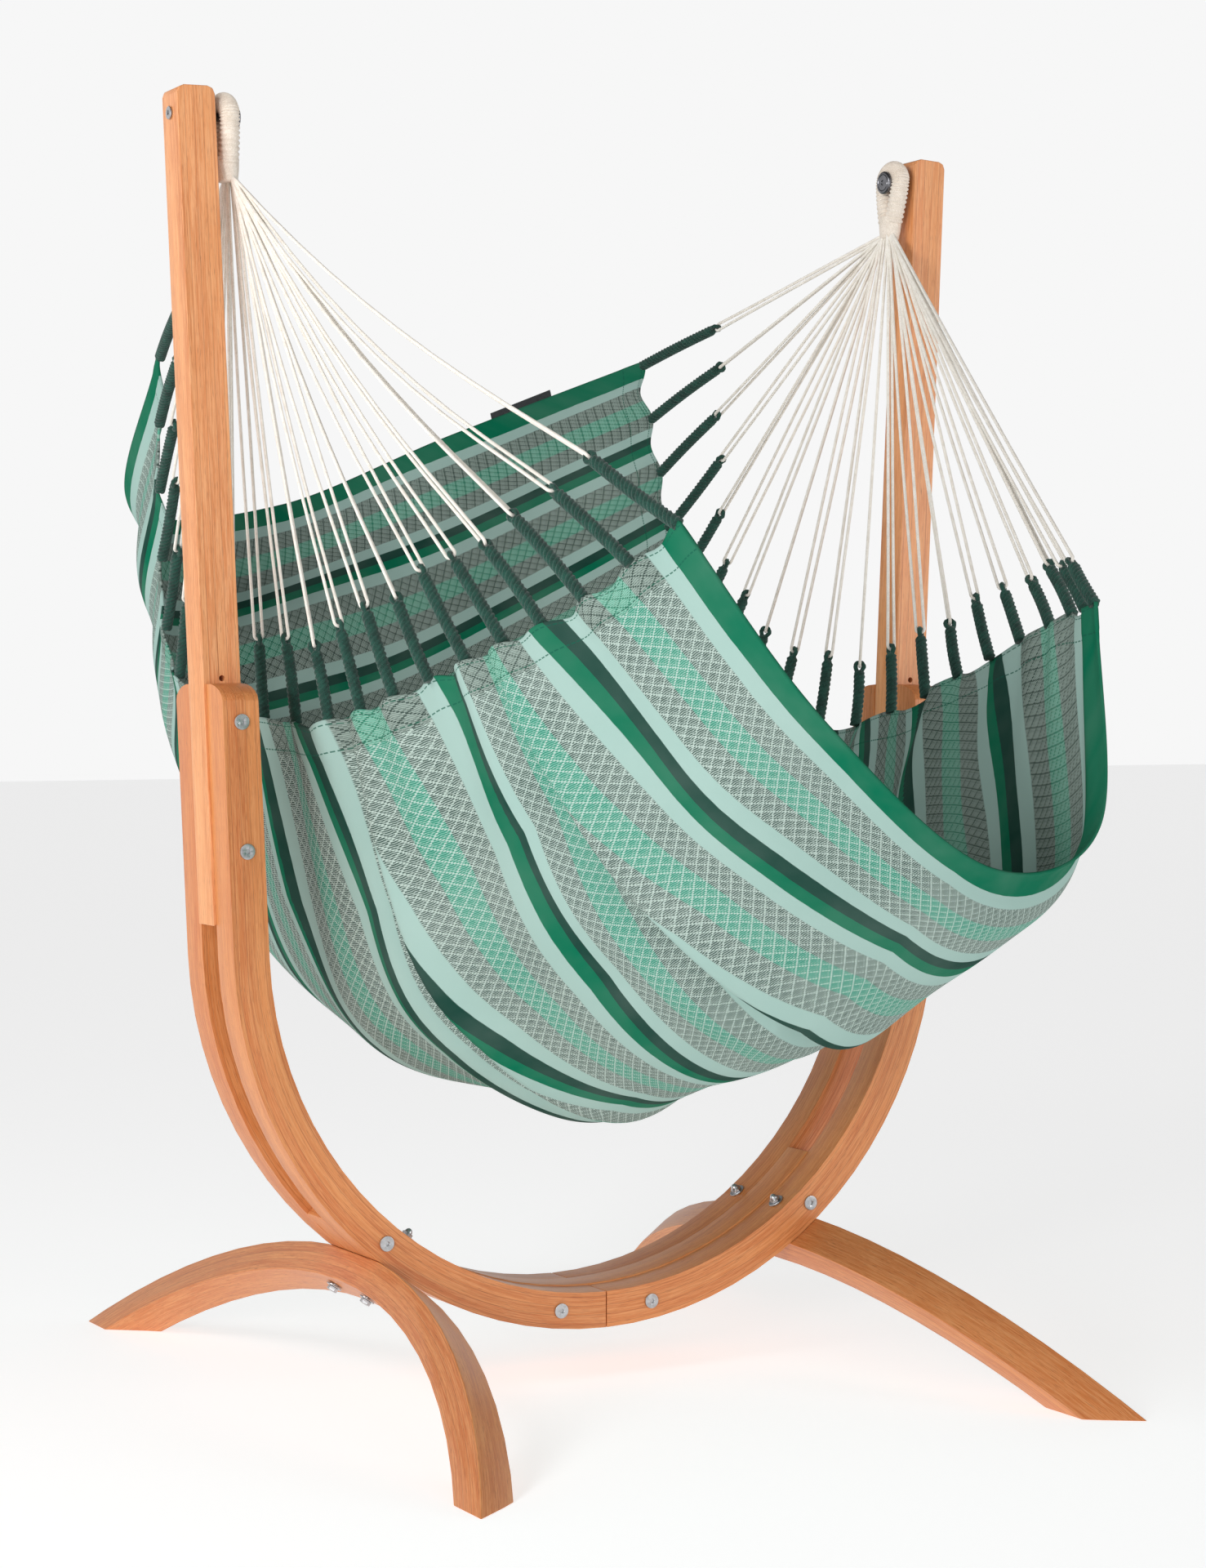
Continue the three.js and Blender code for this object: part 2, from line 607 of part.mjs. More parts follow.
function fabricPanel() {
  const positions = [];
  const index = [];
  const rowLength = FABRIC_COLUMNS + 1;
  const sheetSize = rowLength * (FABRIC_ROWS + 1);
  for (const face of [1, -1])
    for (let j = 0; j <= FABRIC_ROWS; j++)
      for (let i = 0; i <= FABRIC_COLUMNS; i++) {
        const u = CLOTH_MARGIN + ((1 - 2 * CLOTH_MARGIN) * i) / FABRIC_COLUMNS;
        const v = j / FABRIC_ROWS;
        const p = clothPoint(u, v).addScaledVector(clothNormal(u, v), (face * FABRIC_THICKNESS) / 2);
        positions.push(p.x, p.y, p.z);
      }
  const vertex = (i, j, face) => face * sheetSize + j * rowLength + i;
  const quad = (a, b, c, d) => index.push(a, b, c, a, c, d);
  for (let j = 0; j < FABRIC_ROWS; j++)
    for (let i = 0; i < FABRIC_COLUMNS; i++) {
      quad(vertex(i, j, 0), vertex(i + 1, j, 0), vertex(i + 1, j + 1, 0), vertex(i, j + 1, 0));
      quad(vertex(i, j, 1), vertex(i, j + 1, 1), vertex(i + 1, j + 1, 1), vertex(i + 1, j, 1));
    }
  for (let i = 0; i < FABRIC_COLUMNS; i++) {
    quad(vertex(i + 1, 0, 0), vertex(i, 0, 0), vertex(i, 0, 1), vertex(i + 1, 0, 1));
    const j = FABRIC_ROWS;
    quad(vertex(i, j, 0), vertex(i + 1, j, 0), vertex(i + 1, j, 1), vertex(i, j, 1));
  }
  for (let j = 0; j < FABRIC_ROWS; j++) {
    quad(vertex(0, j, 0), vertex(0, j + 1, 0), vertex(0, j + 1, 1), vertex(0, j, 1));
    const i = FABRIC_COLUMNS;
    quad(vertex(i, j + 1, 0), vertex(i, j, 0), vertex(i, j, 1), vertex(i, j + 1, 1));
  }
  const geometry = new THREE.BufferGeometry();
  geometry.setAttribute("position", new THREE.BufferAttribute(new Float32Array(positions), 3));
  geometry.setIndex(index);
  return solid(geometry);
}

const neckAt = (side) => new THREE.Vector3(side * NECK_X, 0, NECK_Z);
const endU = (side) => (side < 0 ? 0 : 1);

// Where rope number k is sewn into the end hem, and its length up to the cord.
const ropeV = (k) => ROPE_INSET + ((1 - 2 * ROPE_INSET) * k) / (CORD_COUNT - 1);
function ropeLength(side, k) {
  const share = k / (CORD_COUNT - 1); // 0 at the back corner, 1 at the front corner
  const uneven = ROPE_UNEVEN * Math.sin(ROPE_UNEVEN_PACE * k);
  if (side < 0) return LEFT_ROPE + LEFT_ROPE_GAIN * Math.abs(2 * share - 1) + uneven;
  return RIGHT_ROPE + RIGHT_ROPE_GAIN * Math.max(0, 1 - 2 * share) + uneven;
}

function ropeEnds(side, k) {
  const sewn = clothPoint(endU(side), ropeV(k));
  const eye = sewn.clone().addScaledVector(neckAt(side).sub(sewn).normalize(), ropeLength(side, k));
  return { sewn, eye };
}

// The hem roll along the end of the cloth, with the ropes sewn into it.
function ropeFringe(side) {
  const steps = HEM_STEPS;
  const points = Array.from({ length: steps + 1 }, (_, i) => clothPoint(endU(side), i / steps));
  let body = tube(points, HEM_RADIUS, ROPE_SIDES, steps);
  for (let k = 0; k < CORD_COUNT; k++) {
    const { sewn, eye } = ropeEnds(side, k);
    body = body.add(rod(sewn, eye, ROPE_RADIUS, ROPE_SIDES));
  }
  return body;
}

// The fan of doubled cords from the neck of the loop down to the rope eyes.
function cordFan(side) {
  const neck = neckAt(side);
  const below = (depth) => neck.clone().add(new THREE.Vector3(0, 0, -depth));
  let body = rod(below(FAN_NECK_LOW), below(FAN_NECK_TOP), NECK_RADIUS, FAN_SIDES);
  for (let k = 0; k < CORD_COUNT; k++) {
    const { eye } = ropeEnds(side, k);
    const start = below(FAN_START);
    const reach = eye.clone().sub(start);
    const end = start.clone().addScaledVector(reach, 1 - CORD_GAP / reach.length());
    body = body.add(rod(start, end, CORD_RADIUS, CORD_SIDES));
  }
  return body;
}

// The whipped eye loop that hangs on the peg, leaning in towards its neck.
function eyeLoop(side) {
  const crown = HANGER_Z + PEG_RADIUS + LOOP_CORD_RADIUS + LOOP_SLACK;
  const centreZ = crown - LOOP_RADIUS;
  const low = NECK_Z + LOOP_NECK;
  const leanIn = (LOOP_X - NECK_X) / (crown - NECK_Z);
  const point = (y, z) => new THREE.Vector3(side * (NECK_X + leanIn * (z - NECK_Z)), y, z);
  const waistZ = (centreZ + low) / 2 + LOOP_WAIST_RISE;
  const half = (way) => {
    const path = [point(0, low), point(way * LOOP_RADIUS * LOOP_WAIST, waistZ)];
    for (let i = 0; i <= LOOP_BENDS; i++) {
      const turn = (i / LOOP_BENDS) * (Math.PI / 2 + LOOP_LAP);
      path.push(point(way * LOOP_RADIUS * Math.cos(turn), centreZ + LOOP_RADIUS * Math.sin(turn)));
    }
    return tube(path, LOOP_CORD_RADIUS, LOOP_SIDES, LOOP_STEPS);
  };
  const neck = rod(point(0, low + LOOP_LEAD), point(0, NECK_Z), NECK_RADIUS, ROD_SIDES);
  return half(1).add(half(-1)).add(neck);
}

// ---- assembly ----

const SIDES = [
  ["left", -1],
  ["right", 1],
];
const ENDS = [
  ["front", -1],
  ["back", 1],
];
const BOLT_NAMES = ["upper", "middle", "leg", "splice"];

for (const [sideName, side] of SIDES) {
  addNode(`upright_${sideName}`, upright(side), timber);
  for (const [endName, end] of ENDS)
    addNode(`curved_beam_${sideName}_${endName}`, curvedBeam(side, end), timber);
  addNode(`leg_arch_${sideName}`, legArch(side), timber);
  boltPlaces(side).forEach((place, i) => {
    addNode(`cross_bolt_${sideName}_${BOLT_NAMES[i]}`, crossBolt(place), steel);
    addNode(`sleeve_nut_${sideName}_${BOLT_NAMES[i]}`, sleeveNut(place), steel);
  });
  for (const [endName, end] of ENDS) {
    const fixing = legFixing(side, end);
    addNode(`leg_bolt_${sideName}_${endName}`, fixing.bolt, steel);
    addNode(`leg_cap_nut_${sideName}_${endName}`, fixing.cap, steel);
    addNode(`leg_washer_low_${sideName}_${endName}`, fixing.lowWasher, steel);
    addNode(`leg_washer_high_${sideName}_${endName}`, fixing.highWasher, steel);
  }
  const { sleeve, peg } = hanger(side);
  addNode(`hanger_sleeve_${sideName}`, sleeve, steel);
  addNode(`hanger_peg_${sideName}`, peg, steel);
  addNode(`eye_loop_${sideName}`, eyeLoop(side), cotton);
  addNode(`suspension_cords_${sideName}`, cordFan(side), cotton);
  addNode(`rope_fringe_${sideName}`, ropeFringe(side), greenRope);
}
addNode("centre_spacer", centreSpacer(), timber);
addNode("fabric_panel", fabricPanel(), cloth);

export default hammockOnStand;
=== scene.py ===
import math

import bmesh
import bpy
import numpy as np
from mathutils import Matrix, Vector


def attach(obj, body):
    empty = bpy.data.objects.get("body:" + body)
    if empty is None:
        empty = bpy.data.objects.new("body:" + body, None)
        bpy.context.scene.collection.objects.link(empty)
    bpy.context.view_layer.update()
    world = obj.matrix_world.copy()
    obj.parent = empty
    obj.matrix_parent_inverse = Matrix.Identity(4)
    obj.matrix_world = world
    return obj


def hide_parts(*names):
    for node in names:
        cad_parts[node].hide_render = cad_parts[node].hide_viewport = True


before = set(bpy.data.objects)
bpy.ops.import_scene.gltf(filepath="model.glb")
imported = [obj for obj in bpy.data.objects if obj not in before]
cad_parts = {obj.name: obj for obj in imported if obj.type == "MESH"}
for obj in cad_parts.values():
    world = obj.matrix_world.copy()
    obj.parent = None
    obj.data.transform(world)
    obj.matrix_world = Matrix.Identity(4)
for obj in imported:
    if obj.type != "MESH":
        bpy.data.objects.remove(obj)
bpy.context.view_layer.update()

# Lengths are in metres. X runs along the span of the stand, Y to the back, Z up.

# ---- driving sizes, the same as the CAD model's ----

ARC_RADIUS = 0.560
ARC_CENTRE_Z = 0.662
LEAN = math.radians(2.5)
ARC_TURN = math.pi / 2 - LEAN
BEAM_DEPTH = 0.053
BEAM_WIDTH = 0.056
UPRIGHT_DEPTH = 0.056
UPRIGHT_OFFSET = 0.0024
BEAM_INNER_Y = 0.0278
BEAM_OUTER_Y = BEAM_INNER_Y + BEAM_WIDTH
LEG_ANGLE = math.radians(36)
LEG_RADIUS = 1.046
LEG_DEPTH = 0.048
LEG_SEAT = 0.004
LEG_BOLT_Y = BEAM_INNER_Y + BEAM_WIDTH / 2
BOLT_STATIONS = {"upper": 0.328, "middle": 0.150}
BOLT_ANGLES = {"leg": math.radians(39.5), "splice": math.radians(7.8)}

ROD_RADIUS = 0.004
SLEEVE_RADIUS = 0.006
HEAD_RADIUS = 0.011
HEAD_THICKNESS = 0.0026
NUT_RADIUS = 0.0075
WASHER_RADIUS = 0.012
WASHER_THICKNESS = 0.002
HANGER_Z = 1.800
PEG_RADIUS = 0.006
PEG_REACH = 0.034
DISC_RADIUS = 0.0175
DISC_THICKNESS = 0.007

CLOTH_THICKNESS = 0.0022
LOOP_X = 0.563
NECK_X = 0.556
NECK_Z = 1.712
NECK_RADIUS = 0.0095
LOOP_RADIUS = 0.0205
LOOP_CORD_RADIUS = 0.014
LOOP_CROWN = HANGER_Z + PEG_RADIUS + LOOP_CORD_RADIUS + 0.0005
CORD_COUNT = 20
CORD_DIAMETER = 0.0047
EYE_STRAND = 0.0038  # radius of the strand round a rope's eye
HANG_TILT = 0.086  # the whole cloth leans to the front by this much of its fall
ROPE_MARGIN = 0.004  # share of the cloth's width beyond the first and last rope
LEFT_ROPE = 0.115
LEFT_ROPE_EXTRA = 0.070
RIGHT_ROPE = 0.105
RIGHT_ROPE_EXTRA = 0.095
ROPE_UNEVEN = 0.008

# Rows of the cloth from the back hem to the front, each with five points from
# left to right, in millimetres and before the lean.
CLOTH_MM = [
    [(-442, 568, 1537), (-400, 820, 1305), (-35, 1046.8, 1335), (235, 895, 1460), (450, 600, 1572)],
    [(-450, 570, 1290), (-418, 670, 1090), (-85, 780, 1120), (205, 725, 1220), (450, 550, 1350)],
    [(-452, 530, 1050), (-408, 590, 860), (-90, 645, 865), (210, 615, 970), (448, 490, 1130)],
    [(-448, 300, 985), (-365, 410, 610), (-85, 460, 565), (210, 425, 690), (440, 300, 990)],
    [(-445, 40, 966), (-335, 110, 545), (-65, 120, 412), (228, 120, 550), (432, 30, 955)],
    [(-445, -215, 1000), (-310, -155, 592), (-52, -190, 436), (232, -170, 590), (426, -205, 1000)],
    [(-435, -450, 1055), (-295, -455, 705), (-35, -480, 523), (232, -468, 690), (415, -410, 1065)],
    [(-405, -645, 1110), (-268, -755, 840), (-2, -765, 650), (238, -708, 752), (398, -590, 1110)],
    [(-345, -815, 1209), (-220, -925, 965), (26, -900, 792), (256, -822, 838), (332, -735, 1125)],
]

# Where the stripes lie across the cloth: each line has its number and its place
# from the back hem (0) to the front hem (1), at six stations from left to right.
STRIPE_STATIONS = [0.0, 0.15, 0.30, 0.45, 0.70, 1.0]
STRIPE_LINES = [
    (0.095, (0.017, 0.017, 0.017, 0.017, 0.017, 0.017)),
    (1, (0.110, 0.105, 0.098, 0.093, 0.088, 0.080)),
    (2, (0.200, 0.190, 0.185, 0.178, 0.168, 0.155)),
    (3, (0.260, 0.255, 0.250, 0.245, 0.235, 0.215)),
    (4, (0.315, 0.315, 0.310, 0.305, 0.290, 0.270)),
    (5, (0.360, 0.365, 0.365, 0.360, 0.345, 0.320)),
    (6, (0.385, 0.400, 0.415, 0.420, 0.400, 0.365)),
    (7, (0.415, 0.430, 0.470, 0.480, 0.455, 0.410)),
    (8, (0.485, 0.550, 0.567, 0.565, 0.530, 0.455)),
    (9, (0.550, 0.578, 0.6195, 0.640, 0.610, 0.500)),
    (10, (0.710, 0.742, 0.735, 0.712, 0.675, 0.555)),
    (11, (0.765, 0.785, 0.800, 0.803, 0.755, 0.615)),
    (12, (0.845, 0.868, 0.885, 0.898, 0.865, 0.740)),
    (12.905, (0.973, 0.982, 0.984, 0.983, 0.965, 0.935)),
]
STRIPE_MIDDLE = 6.5  # the stripes are mirrored about this line
CLOTH_WIDTH = 2.2  # flat, across the stripes

# Tucks in the front of the cloth: the place of the fold, the stripe numbers that
# it hides the cloth between, and its depth, at the stripe stations.
TUCKS = [
    {
        "line": (0.552, 0.588, 0.606, 0.600, 0.57, 0.47),
        "low": (8.32, 8.40, 8.46, 8.50, 8.5, 8.5),
        "high": (9.35, 9.11, 8.88, 8.51, 8.5, 8.5),
        "depth": (0.013, 0.024, 0.030, 0.024, 0.0, 0.0),
    },
    {
        "line": (0.765, 0.785, 0.800, 0.803, 0.755, 0.615),
        "low": (10.52, 10.62, 10.88, 11.0, 11.0, 11.0),
        "high": (11.48, 11.38, 11.12, 11.0, 11.0, 11.0),
        "depth": (0.010, 0.018, 0.028, 0.020, 0.005, 0.0),
    },
]


# ---- camera ----

CAMERA_PLACE = Vector((-2.2349, -4.0168, 1.0045))
CAMERA_YAW = math.radians(29.543)
CAMERA_PITCH = math.radians(-1.677)
CAMERA_LENS = 71.25  # millimetres, on a sensor 36 mm high


def make_camera():
    camera = bpy.data.cameras.new("camera")
    camera.sensor_fit = "VERTICAL"
    camera.sensor_height = 36.0
    camera.lens = CAMERA_LENS
    holder = bpy.data.objects.new("camera", camera)
    bpy.context.scene.collection.objects.link(holder)
    level = math.cos(CAMERA_PITCH)
    look = Vector((math.sin(CAMERA_YAW) * level, math.cos(CAMERA_YAW) * level, math.sin(CAMERA_PITCH)))
    holder.location = CAMERA_PLACE
    holder.rotation_euler = look.to_track_quat("-Z", "Y").to_euler()
    bpy.context.scene.camera = holder


# ---- mesh helpers ----


def unit(v):
    return v / np.linalg.norm(v)


def through(points, t):
    """A point on the smooth curve through evenly spaced points, t from 0 to 1."""
    points = np.asarray(points, float)
    last = len(points) - 1
    x = min(max(t, 0.0), 1.0) * last
    i = min(int(x), last - 1)
    f = x - i
    before = points[i - 1] if i else 2 * points[0] - points[1]
    after = points[i + 2] if i + 2 <= last else 2 * points[last] - points[last - 1]
    return (
        (-0.5 * f**3 + f**2 - 0.5 * f) * before
        + (1.5 * f**3 - 2.5 * f**2 + 1) * points[i]
        + (-1.5 * f**3 + 2 * f**2 + 0.5 * f) * points[i + 1]
        + (0.5 * f**3 - 0.5 * f**2) * after
    )


def add_piece(name, verts, faces, looks, body, slot, replaced=(), smooth_angle=None):
    mesh = bpy.data.meshes.new(name)
    mesh.from_pydata([tuple(map(float, v)) for v in verts], [], [tuple(map(int, f)) for f in faces])
    mesh.validate()
    mesh.polygons.foreach_set("use_smooth", [True] * len(mesh.polygons))
    if smooth_angle is not None:
        mesh.set_sharp_from_angle(angle=smooth_angle)
    mesh.materials.append(looks)
    piece = bpy.data.objects.new(name, mesh)
    bpy.context.scene.collection.objects.link(piece)
    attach(piece, body)
    if replaced:
        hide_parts(*replaced)
    return piece


class Shape:
    """Vertices and faces gathered from several sweeps into one mesh."""

    def __init__(self):
        self.verts, self.faces, self.count = [], [], 0

    def add(self, verts, faces):
        self.verts.append(np.asarray(verts, float))
        self.faces += [tuple(i + self.count for i in f) for f in faces]
        self.count += len(verts)

    def arrays(self):
        return np.concatenate(self.verts), self.faces


def ring_faces(rings, sides):
    """Quads between neighbouring rings, and a cap on each end."""
    faces = [tuple(reversed(range(sides)))]
    for a in range(0, (rings - 1) * sides, sides):
        for j in range(sides):
            k = (j + 1) % sides
            faces.append((a + j, a + k, a + sides + k, a + sides + j))
    faces.append(tuple(range((rings - 1) * sides, rings * sides)))
    return faces


def steady(direction):
    """A direction that is well away from the given one."""
    return np.array([0.0, 0.0, 1.0]) if abs(direction[2]) < 0.9 else np.array([0.0, 1.0, 0.0])


def sides_along(points):
    """Two side directions at each point, that don't twist along the path."""
    tangents = np.gradient(points, axis=0)
    tangents /= np.linalg.norm(tangents, axis=1, keepdims=True)
    last = steady(tangents[0])
    sides = []
    for t in tangents:
        last = unit(last - t * last.dot(t))
        sides.append(last)
    sides = np.array(sides)
    return sides, np.cross(tangents, sides)


def around(sides):
    return np.arange(sides) * 2 * math.pi / sides


def sweep(points, section):
    """section(i, share) gives the ring of the i-th point as (radius, angle) arrays."""
    points = np.asarray(points, float)
    u, w = sides_along(points)
    rings = []
    for i, p in enumerate(points):
        radius, angle = section(i, i / (len(points) - 1))
        rings.append(p + np.outer(radius * np.cos(angle), u[i]) + np.outer(radius * np.sin(angle), w[i]))
    return np.concatenate(rings), ring_faces(len(rings), len(rings[0]))


def lathe(rings, origin, direction, sides=48):
    """rings are (radius, height) or (apothem, height, "hex"), from one pole to the other."""
    direction = unit(np.asarray(direction, float))
    across = steady(direction)
    u = unit(across - direction * across.dot(direction))
    w = np.cross(direction, u)
    turn = around(sides)
    hexagon = 1 / np.cos((turn + math.pi / 6) % (math.pi / 3) - math.pi / 6)
    verts = []
    for ring in rings:
        radius = ring[0] * (hexagon if len(ring) > 2 else np.ones(sides))
        verts.append(
            np.asarray(origin, float)
            + np.outer(radius * np.cos(turn), u)
            + np.outer(radius * np.sin(turn), w)
            + direction * ring[1]
        )
    return np.concatenate(verts), ring_faces(len(rings), sides)


# ---- places on the U ----


def arc_point(side, angle, offset=0.0):
    radius = ARC_RADIUS + offset
    return np.array([side * radius * math.sin(angle), 0.0, ARC_CENTRE_Z - radius * math.cos(angle)])


def straight_point(side, station, offset=0.0):
    base = arc_point(1, ARC_TURN, offset)
    return np.array([side * (base[0] + station * math.sin(LEAN)), 0.0, base[2] + station * math.cos(LEAN)])


def radial(side, angle):
    return np.array([side * math.sin(angle), 0.0, -math.cos(angle)])


def upright_face_x(offset):
    base = straight_point(1, 0.0, UPRIGHT_OFFSET + offset)
    return base[0] + (HANGER_Z - base[2]) * math.tan(LEAN)


# ---- the cloth's shape ----

CLOTH = np.array(CLOTH_MM, float) / 1000
CLOTH[..., 1] -= HANG_TILT * (HANGER_Z - CLOTH[..., 2])
STATION_AXIS = np.array(STRIPE_STATIONS)


def cloth_point(u, v):
    return through([through(CLOTH[:, j], v) for j in range(CLOTH.shape[1])], u)


def neck_at(side):
    return np.array([side * NECK_X, 0.0, NECK_Z])


def rope_place(k):
    """Where rope k is sewn in, from the back hem (0) to the front hem (1)."""
    return ROPE_MARGIN + (1 - 2 * ROPE_MARGIN) * k / (CORD_COUNT - 1)


def rope_length(side, k):
    """On the left the middle ropes are the shortest, and on the right the front ones."""
    share = k / (CORD_COUNT - 1)
    uneven = ROPE_UNEVEN * math.sin(2.3 * k)
    if side < 0:
        return LEFT_ROPE + LEFT_ROPE_EXTRA * abs(2 * share - 1) + uneven
    return RIGHT_ROPE + RIGHT_ROPE_EXTRA * max(0.0, 1 - 2 * share) + uneven


def rope_ends(side, k):
    sewn = cloth_point(0 if side < 0 else 1, rope_place(k))
    return sewn, sewn + unit(neck_at(side) - sewn) * rope_length(side, k)


def eye_across(k, up):
    """Across the opening of rope k's eye, for a rope that runs up."""
    return unit(np.cross(up, np.array([math.sin(k), math.cos(k), 0.3])))


def side_name(side):
    return "left" if side < 0 else "right"


# ---- materials ----


class Looks:
    """A node material, built by short calls."""

    def __init__(self, name, roughness=0.6, metallic=0.0):
        self.material = bpy.data.materials.new(name)
        self.material.use_nodes = True
        self.tree = self.material.node_tree
        self.shader = self.tree.nodes["Principled BSDF"]
        self.let("Roughness", roughness)
        self.let("Metallic", metallic)

    def node(self, kind, **settings):
        made = self.tree.nodes.new(kind)
        for key, value in settings.items():
            setattr(made, key, value)
        return made

    def put(self, value, socket):
        if isinstance(value, bpy.types.NodeSocket):
            self.tree.links.new(value, socket)
        else:
            socket.default_value = value

    def math(self, kind, a, b=0.0, c=0.0):
        made = self.node("ShaderNodeMath", operation=kind)
        for value, socket in zip((a, b, c), made.inputs):
            self.put(value, socket)
        return made.outputs[0]

    def plus(self, a, b):
        return self.math("ADD", a, b)

    def minus(self, a, b):
        return self.math("SUBTRACT", a, b)

    def times(self, a, b):
        return self.math("MULTIPLY", a, b)

    def over(self, a, b):
        return self.math("DIVIDE", a, b)

    def absolute(self, a):
        return self.math("ABSOLUTE", a)

    def mix(self, share, a, b, kind="MIX"):
        made = self.node("ShaderNodeMix", data_type="RGBA", blend_type=kind)
        self.put(share, made.inputs[0])
        self.put(a, made.inputs[6])  # sockets 6 and 7 are the two colours
        self.put(b, made.inputs[7])
        return made.outputs[2]

    def attribute(self, name):
        return self.node("ShaderNodeAttribute", attribute_name=name)

    def split(self, vector):
        made = self.node("ShaderNodeSeparateXYZ")
        self.put(vector, made.inputs[0])
        return made.outputs

    def join(self, x, y, z=0.0):
        made = self.node("ShaderNodeCombineXYZ")
        for value, socket in zip((x, y, z), made.inputs):
            self.put(value, socket)
        return made.outputs[0]

    def noise(self, vector, scale, detail=3.0, roughness=0.55):
        made = self.node("ShaderNodeTexNoise")
        self.put(vector, made.inputs["Vector"])
        made.inputs["Scale"].default_value = scale
        made.inputs["Detail"].default_value = detail
        made.inputs["Roughness"].default_value = roughness
        return made.outputs[0]

    def ramp(self, value, low, high, start=0.0, end=1.0):
        made = self.node("ShaderNodeMapRange", clamp=True)
        for v, i in ((value, 0), (low, 1), (high, 2), (start, 3), (end, 4)):
            self.put(v, made.inputs[i])
        return made.outputs[0]

    def above(self, value, edge, soft=0.0):
        if not soft:
            return self.math("GREATER_THAN", value, edge)
        return self.ramp(value, edge - soft, edge + soft)

    def bump(self, height, strength, distance):
        made = self.node("ShaderNodeBump")
        made.inputs["Strength"].default_value = strength
        made.inputs["Distance"].default_value = distance
        self.put(height, made.inputs["Height"])
        self.tree.links.new(made.outputs[0], self.shader.inputs["Normal"])

    def let(self, name, value):
        self.put(value, self.shader.inputs[name])


def rgb(r, g, b):
    """A colour from its usual 0 to 255 values."""

    def linear(c):
        c /= 255
        return c / 12.92 if c <= 0.04045 else ((c + 0.055) / 1.055) ** 2.4

    return (linear(r), linear(g), linear(b), 1.0)


LAMINATION = 0.0135  # thickness of one glued layer


def grain_place(m, kind):
    """The place along the grain, across the glued layers and through their width."""

    def weighted(a, a_share, b, b_share, plus=0.0):
        both = m.plus(m.times(a, a_share), m.times(b, b_share))
        return m.plus(both, plus)

    def reach(a, b):
        return m.math("SQRT", m.plus(m.times(a, a), m.times(b, b)))

    x, y, z = m.split(m.node("ShaderNodeTexCoord").outputs["Object"])
    x = m.absolute(x)
    z = m.minus(z, ARC_CENTRE_Z)
    if kind == "arch":
        turn, rise = math.sin(LEG_ANGLE), math.cos(LEG_ANGLE)
        centre = ARC_RADIUS + BEAM_DEPTH / 2 - LEG_SEAT + LEG_RADIUS
        fall = weighted(x, -turn, z, rise, centre)
        along = m.times(m.math("ARCTAN2", y, fall), LEG_RADIUS)
        across = m.minus(reach(y, fall), LEG_RADIUS - LEG_DEPTH / 2)
        return along, across, weighted(x, rise, z, turn)
    rise = weighted(x, math.sin(LEAN), z, math.cos(LEAN))
    out = weighted(x, math.cos(LEAN), z, -math.sin(LEAN), -ARC_RADIUS)
    if kind == "straight":
        return rise, out, y
    angle = m.math("ARCTAN2", x, m.times(z, -1.0))
    bent_along = m.times(m.minus(angle, ARC_TURN), ARC_RADIUS)
    bent_across = m.minus(reach(x, z), ARC_RADIUS)
    straight = m.above(rise, 0.0)

    def either(a, b):
        return m.plus(a, m.times(straight, m.minus(b, a)))

    return either(bent_along, rise), either(bent_across, out), y


WOOD_DEEP = rgb(200, 118, 62)
WOOD_LIGHT = rgb(238, 164, 104)
WOOD_RED = rgb(212, 124, 68)
WOOD_FINE = rgb(246, 186, 134)
WOOD_PORE = rgb(134, 72, 38)
WOOD_GLUE = rgb(120, 60, 30)
# Painted shade: the curved beams, spacer and leg arches are the uprights' wood, darkened all over as if in
# shade.
SHADE_TINTS = {
    "straight": (1.0, 1.0, 1.0, 1.0),
    "bent": (0.86, 0.74, 0.60, 1.0),
    "arch": (0.86, 0.76, 0.64, 1.0),
}


def timber_looks(kind):
    """Oiled, laminated hardwood; the curved pieces carry painted shade. The phase attribute tells the pieces
    apart.
    """
    m = Looks("timber_" + kind, 0.42)
    along, across, through_y = grain_place(m, kind)
    along = m.plus(along, m.attribute("phase").outputs["Fac"])
    across = m.plus(across, LAMINATION / 2)  # no glue line lies near a surface
    layer = m.math("FLOOR", m.over(across, LAMINATION))
    shift = m.times(layer, 7.31)  # each layer is another board

    def fibres(lengthways, crossways, detail, rough=0.55, moved=0.0, moved_in=0.0):
        """Noise drawn out along the grain, by its scales along it and across it."""
        place = m.join(
            m.plus(m.times(along, lengthways), moved),
            m.times(across, crossways),
            m.plus(m.times(through_y, crossways), moved_in),
        )
        return m.noise(place, 1.0, detail, rough)

    figure = fibres(1.6, 34.0, 4.0, 0.6, shift, shift)
    fine = fibres(14.0, 520.0, 3.0, 0.7, shift)
    pores = fibres(55.0, 1500.0, 1.0)
    tone = m.noise(m.join(m.times(layer, 3.7), m.times(along, 0.25)), 1.0, 0.0)
    base = m.mix(m.ramp(figure, 0.32, 0.68), WOOD_DEEP, WOOD_LIGHT)
    base = m.mix(m.ramp(tone, 0.35, 0.65, 0.0, 0.55), base, WOOD_RED)
    base = m.mix(m.ramp(fine, 0.42, 0.62, 0.0, 0.55), base, WOOD_FINE)
    base = m.mix(m.ramp(pores, 0.60, 0.74, 0.0, 0.55), base, WOOD_PORE)
    in_layer = m.math("FRACT", m.over(across, LAMINATION))
    glue = m.above(m.absolute(m.minus(in_layer, 0.5)), 0.475, 0.02)
    base = m.mix(m.times(glue, 0.42), base, WOOD_GLUE)
    # painted shade: the tint darkens the bent and arch pieces below the uprights' colour
    m.let("Base Color", m.mix(1.0, base, SHADE_TINTS[kind], "MULTIPLY"))
    m.let("Roughness", m.ramp(fine, 0.3, 0.7, 0.34, 0.52))
    m.bump(m.minus(fine, m.times(pores, 0.5)), 0.35, 0.0006)
    m.let("Coat Weight", 0.12)
    m.let("Coat Roughness", 0.3)
    return m.material


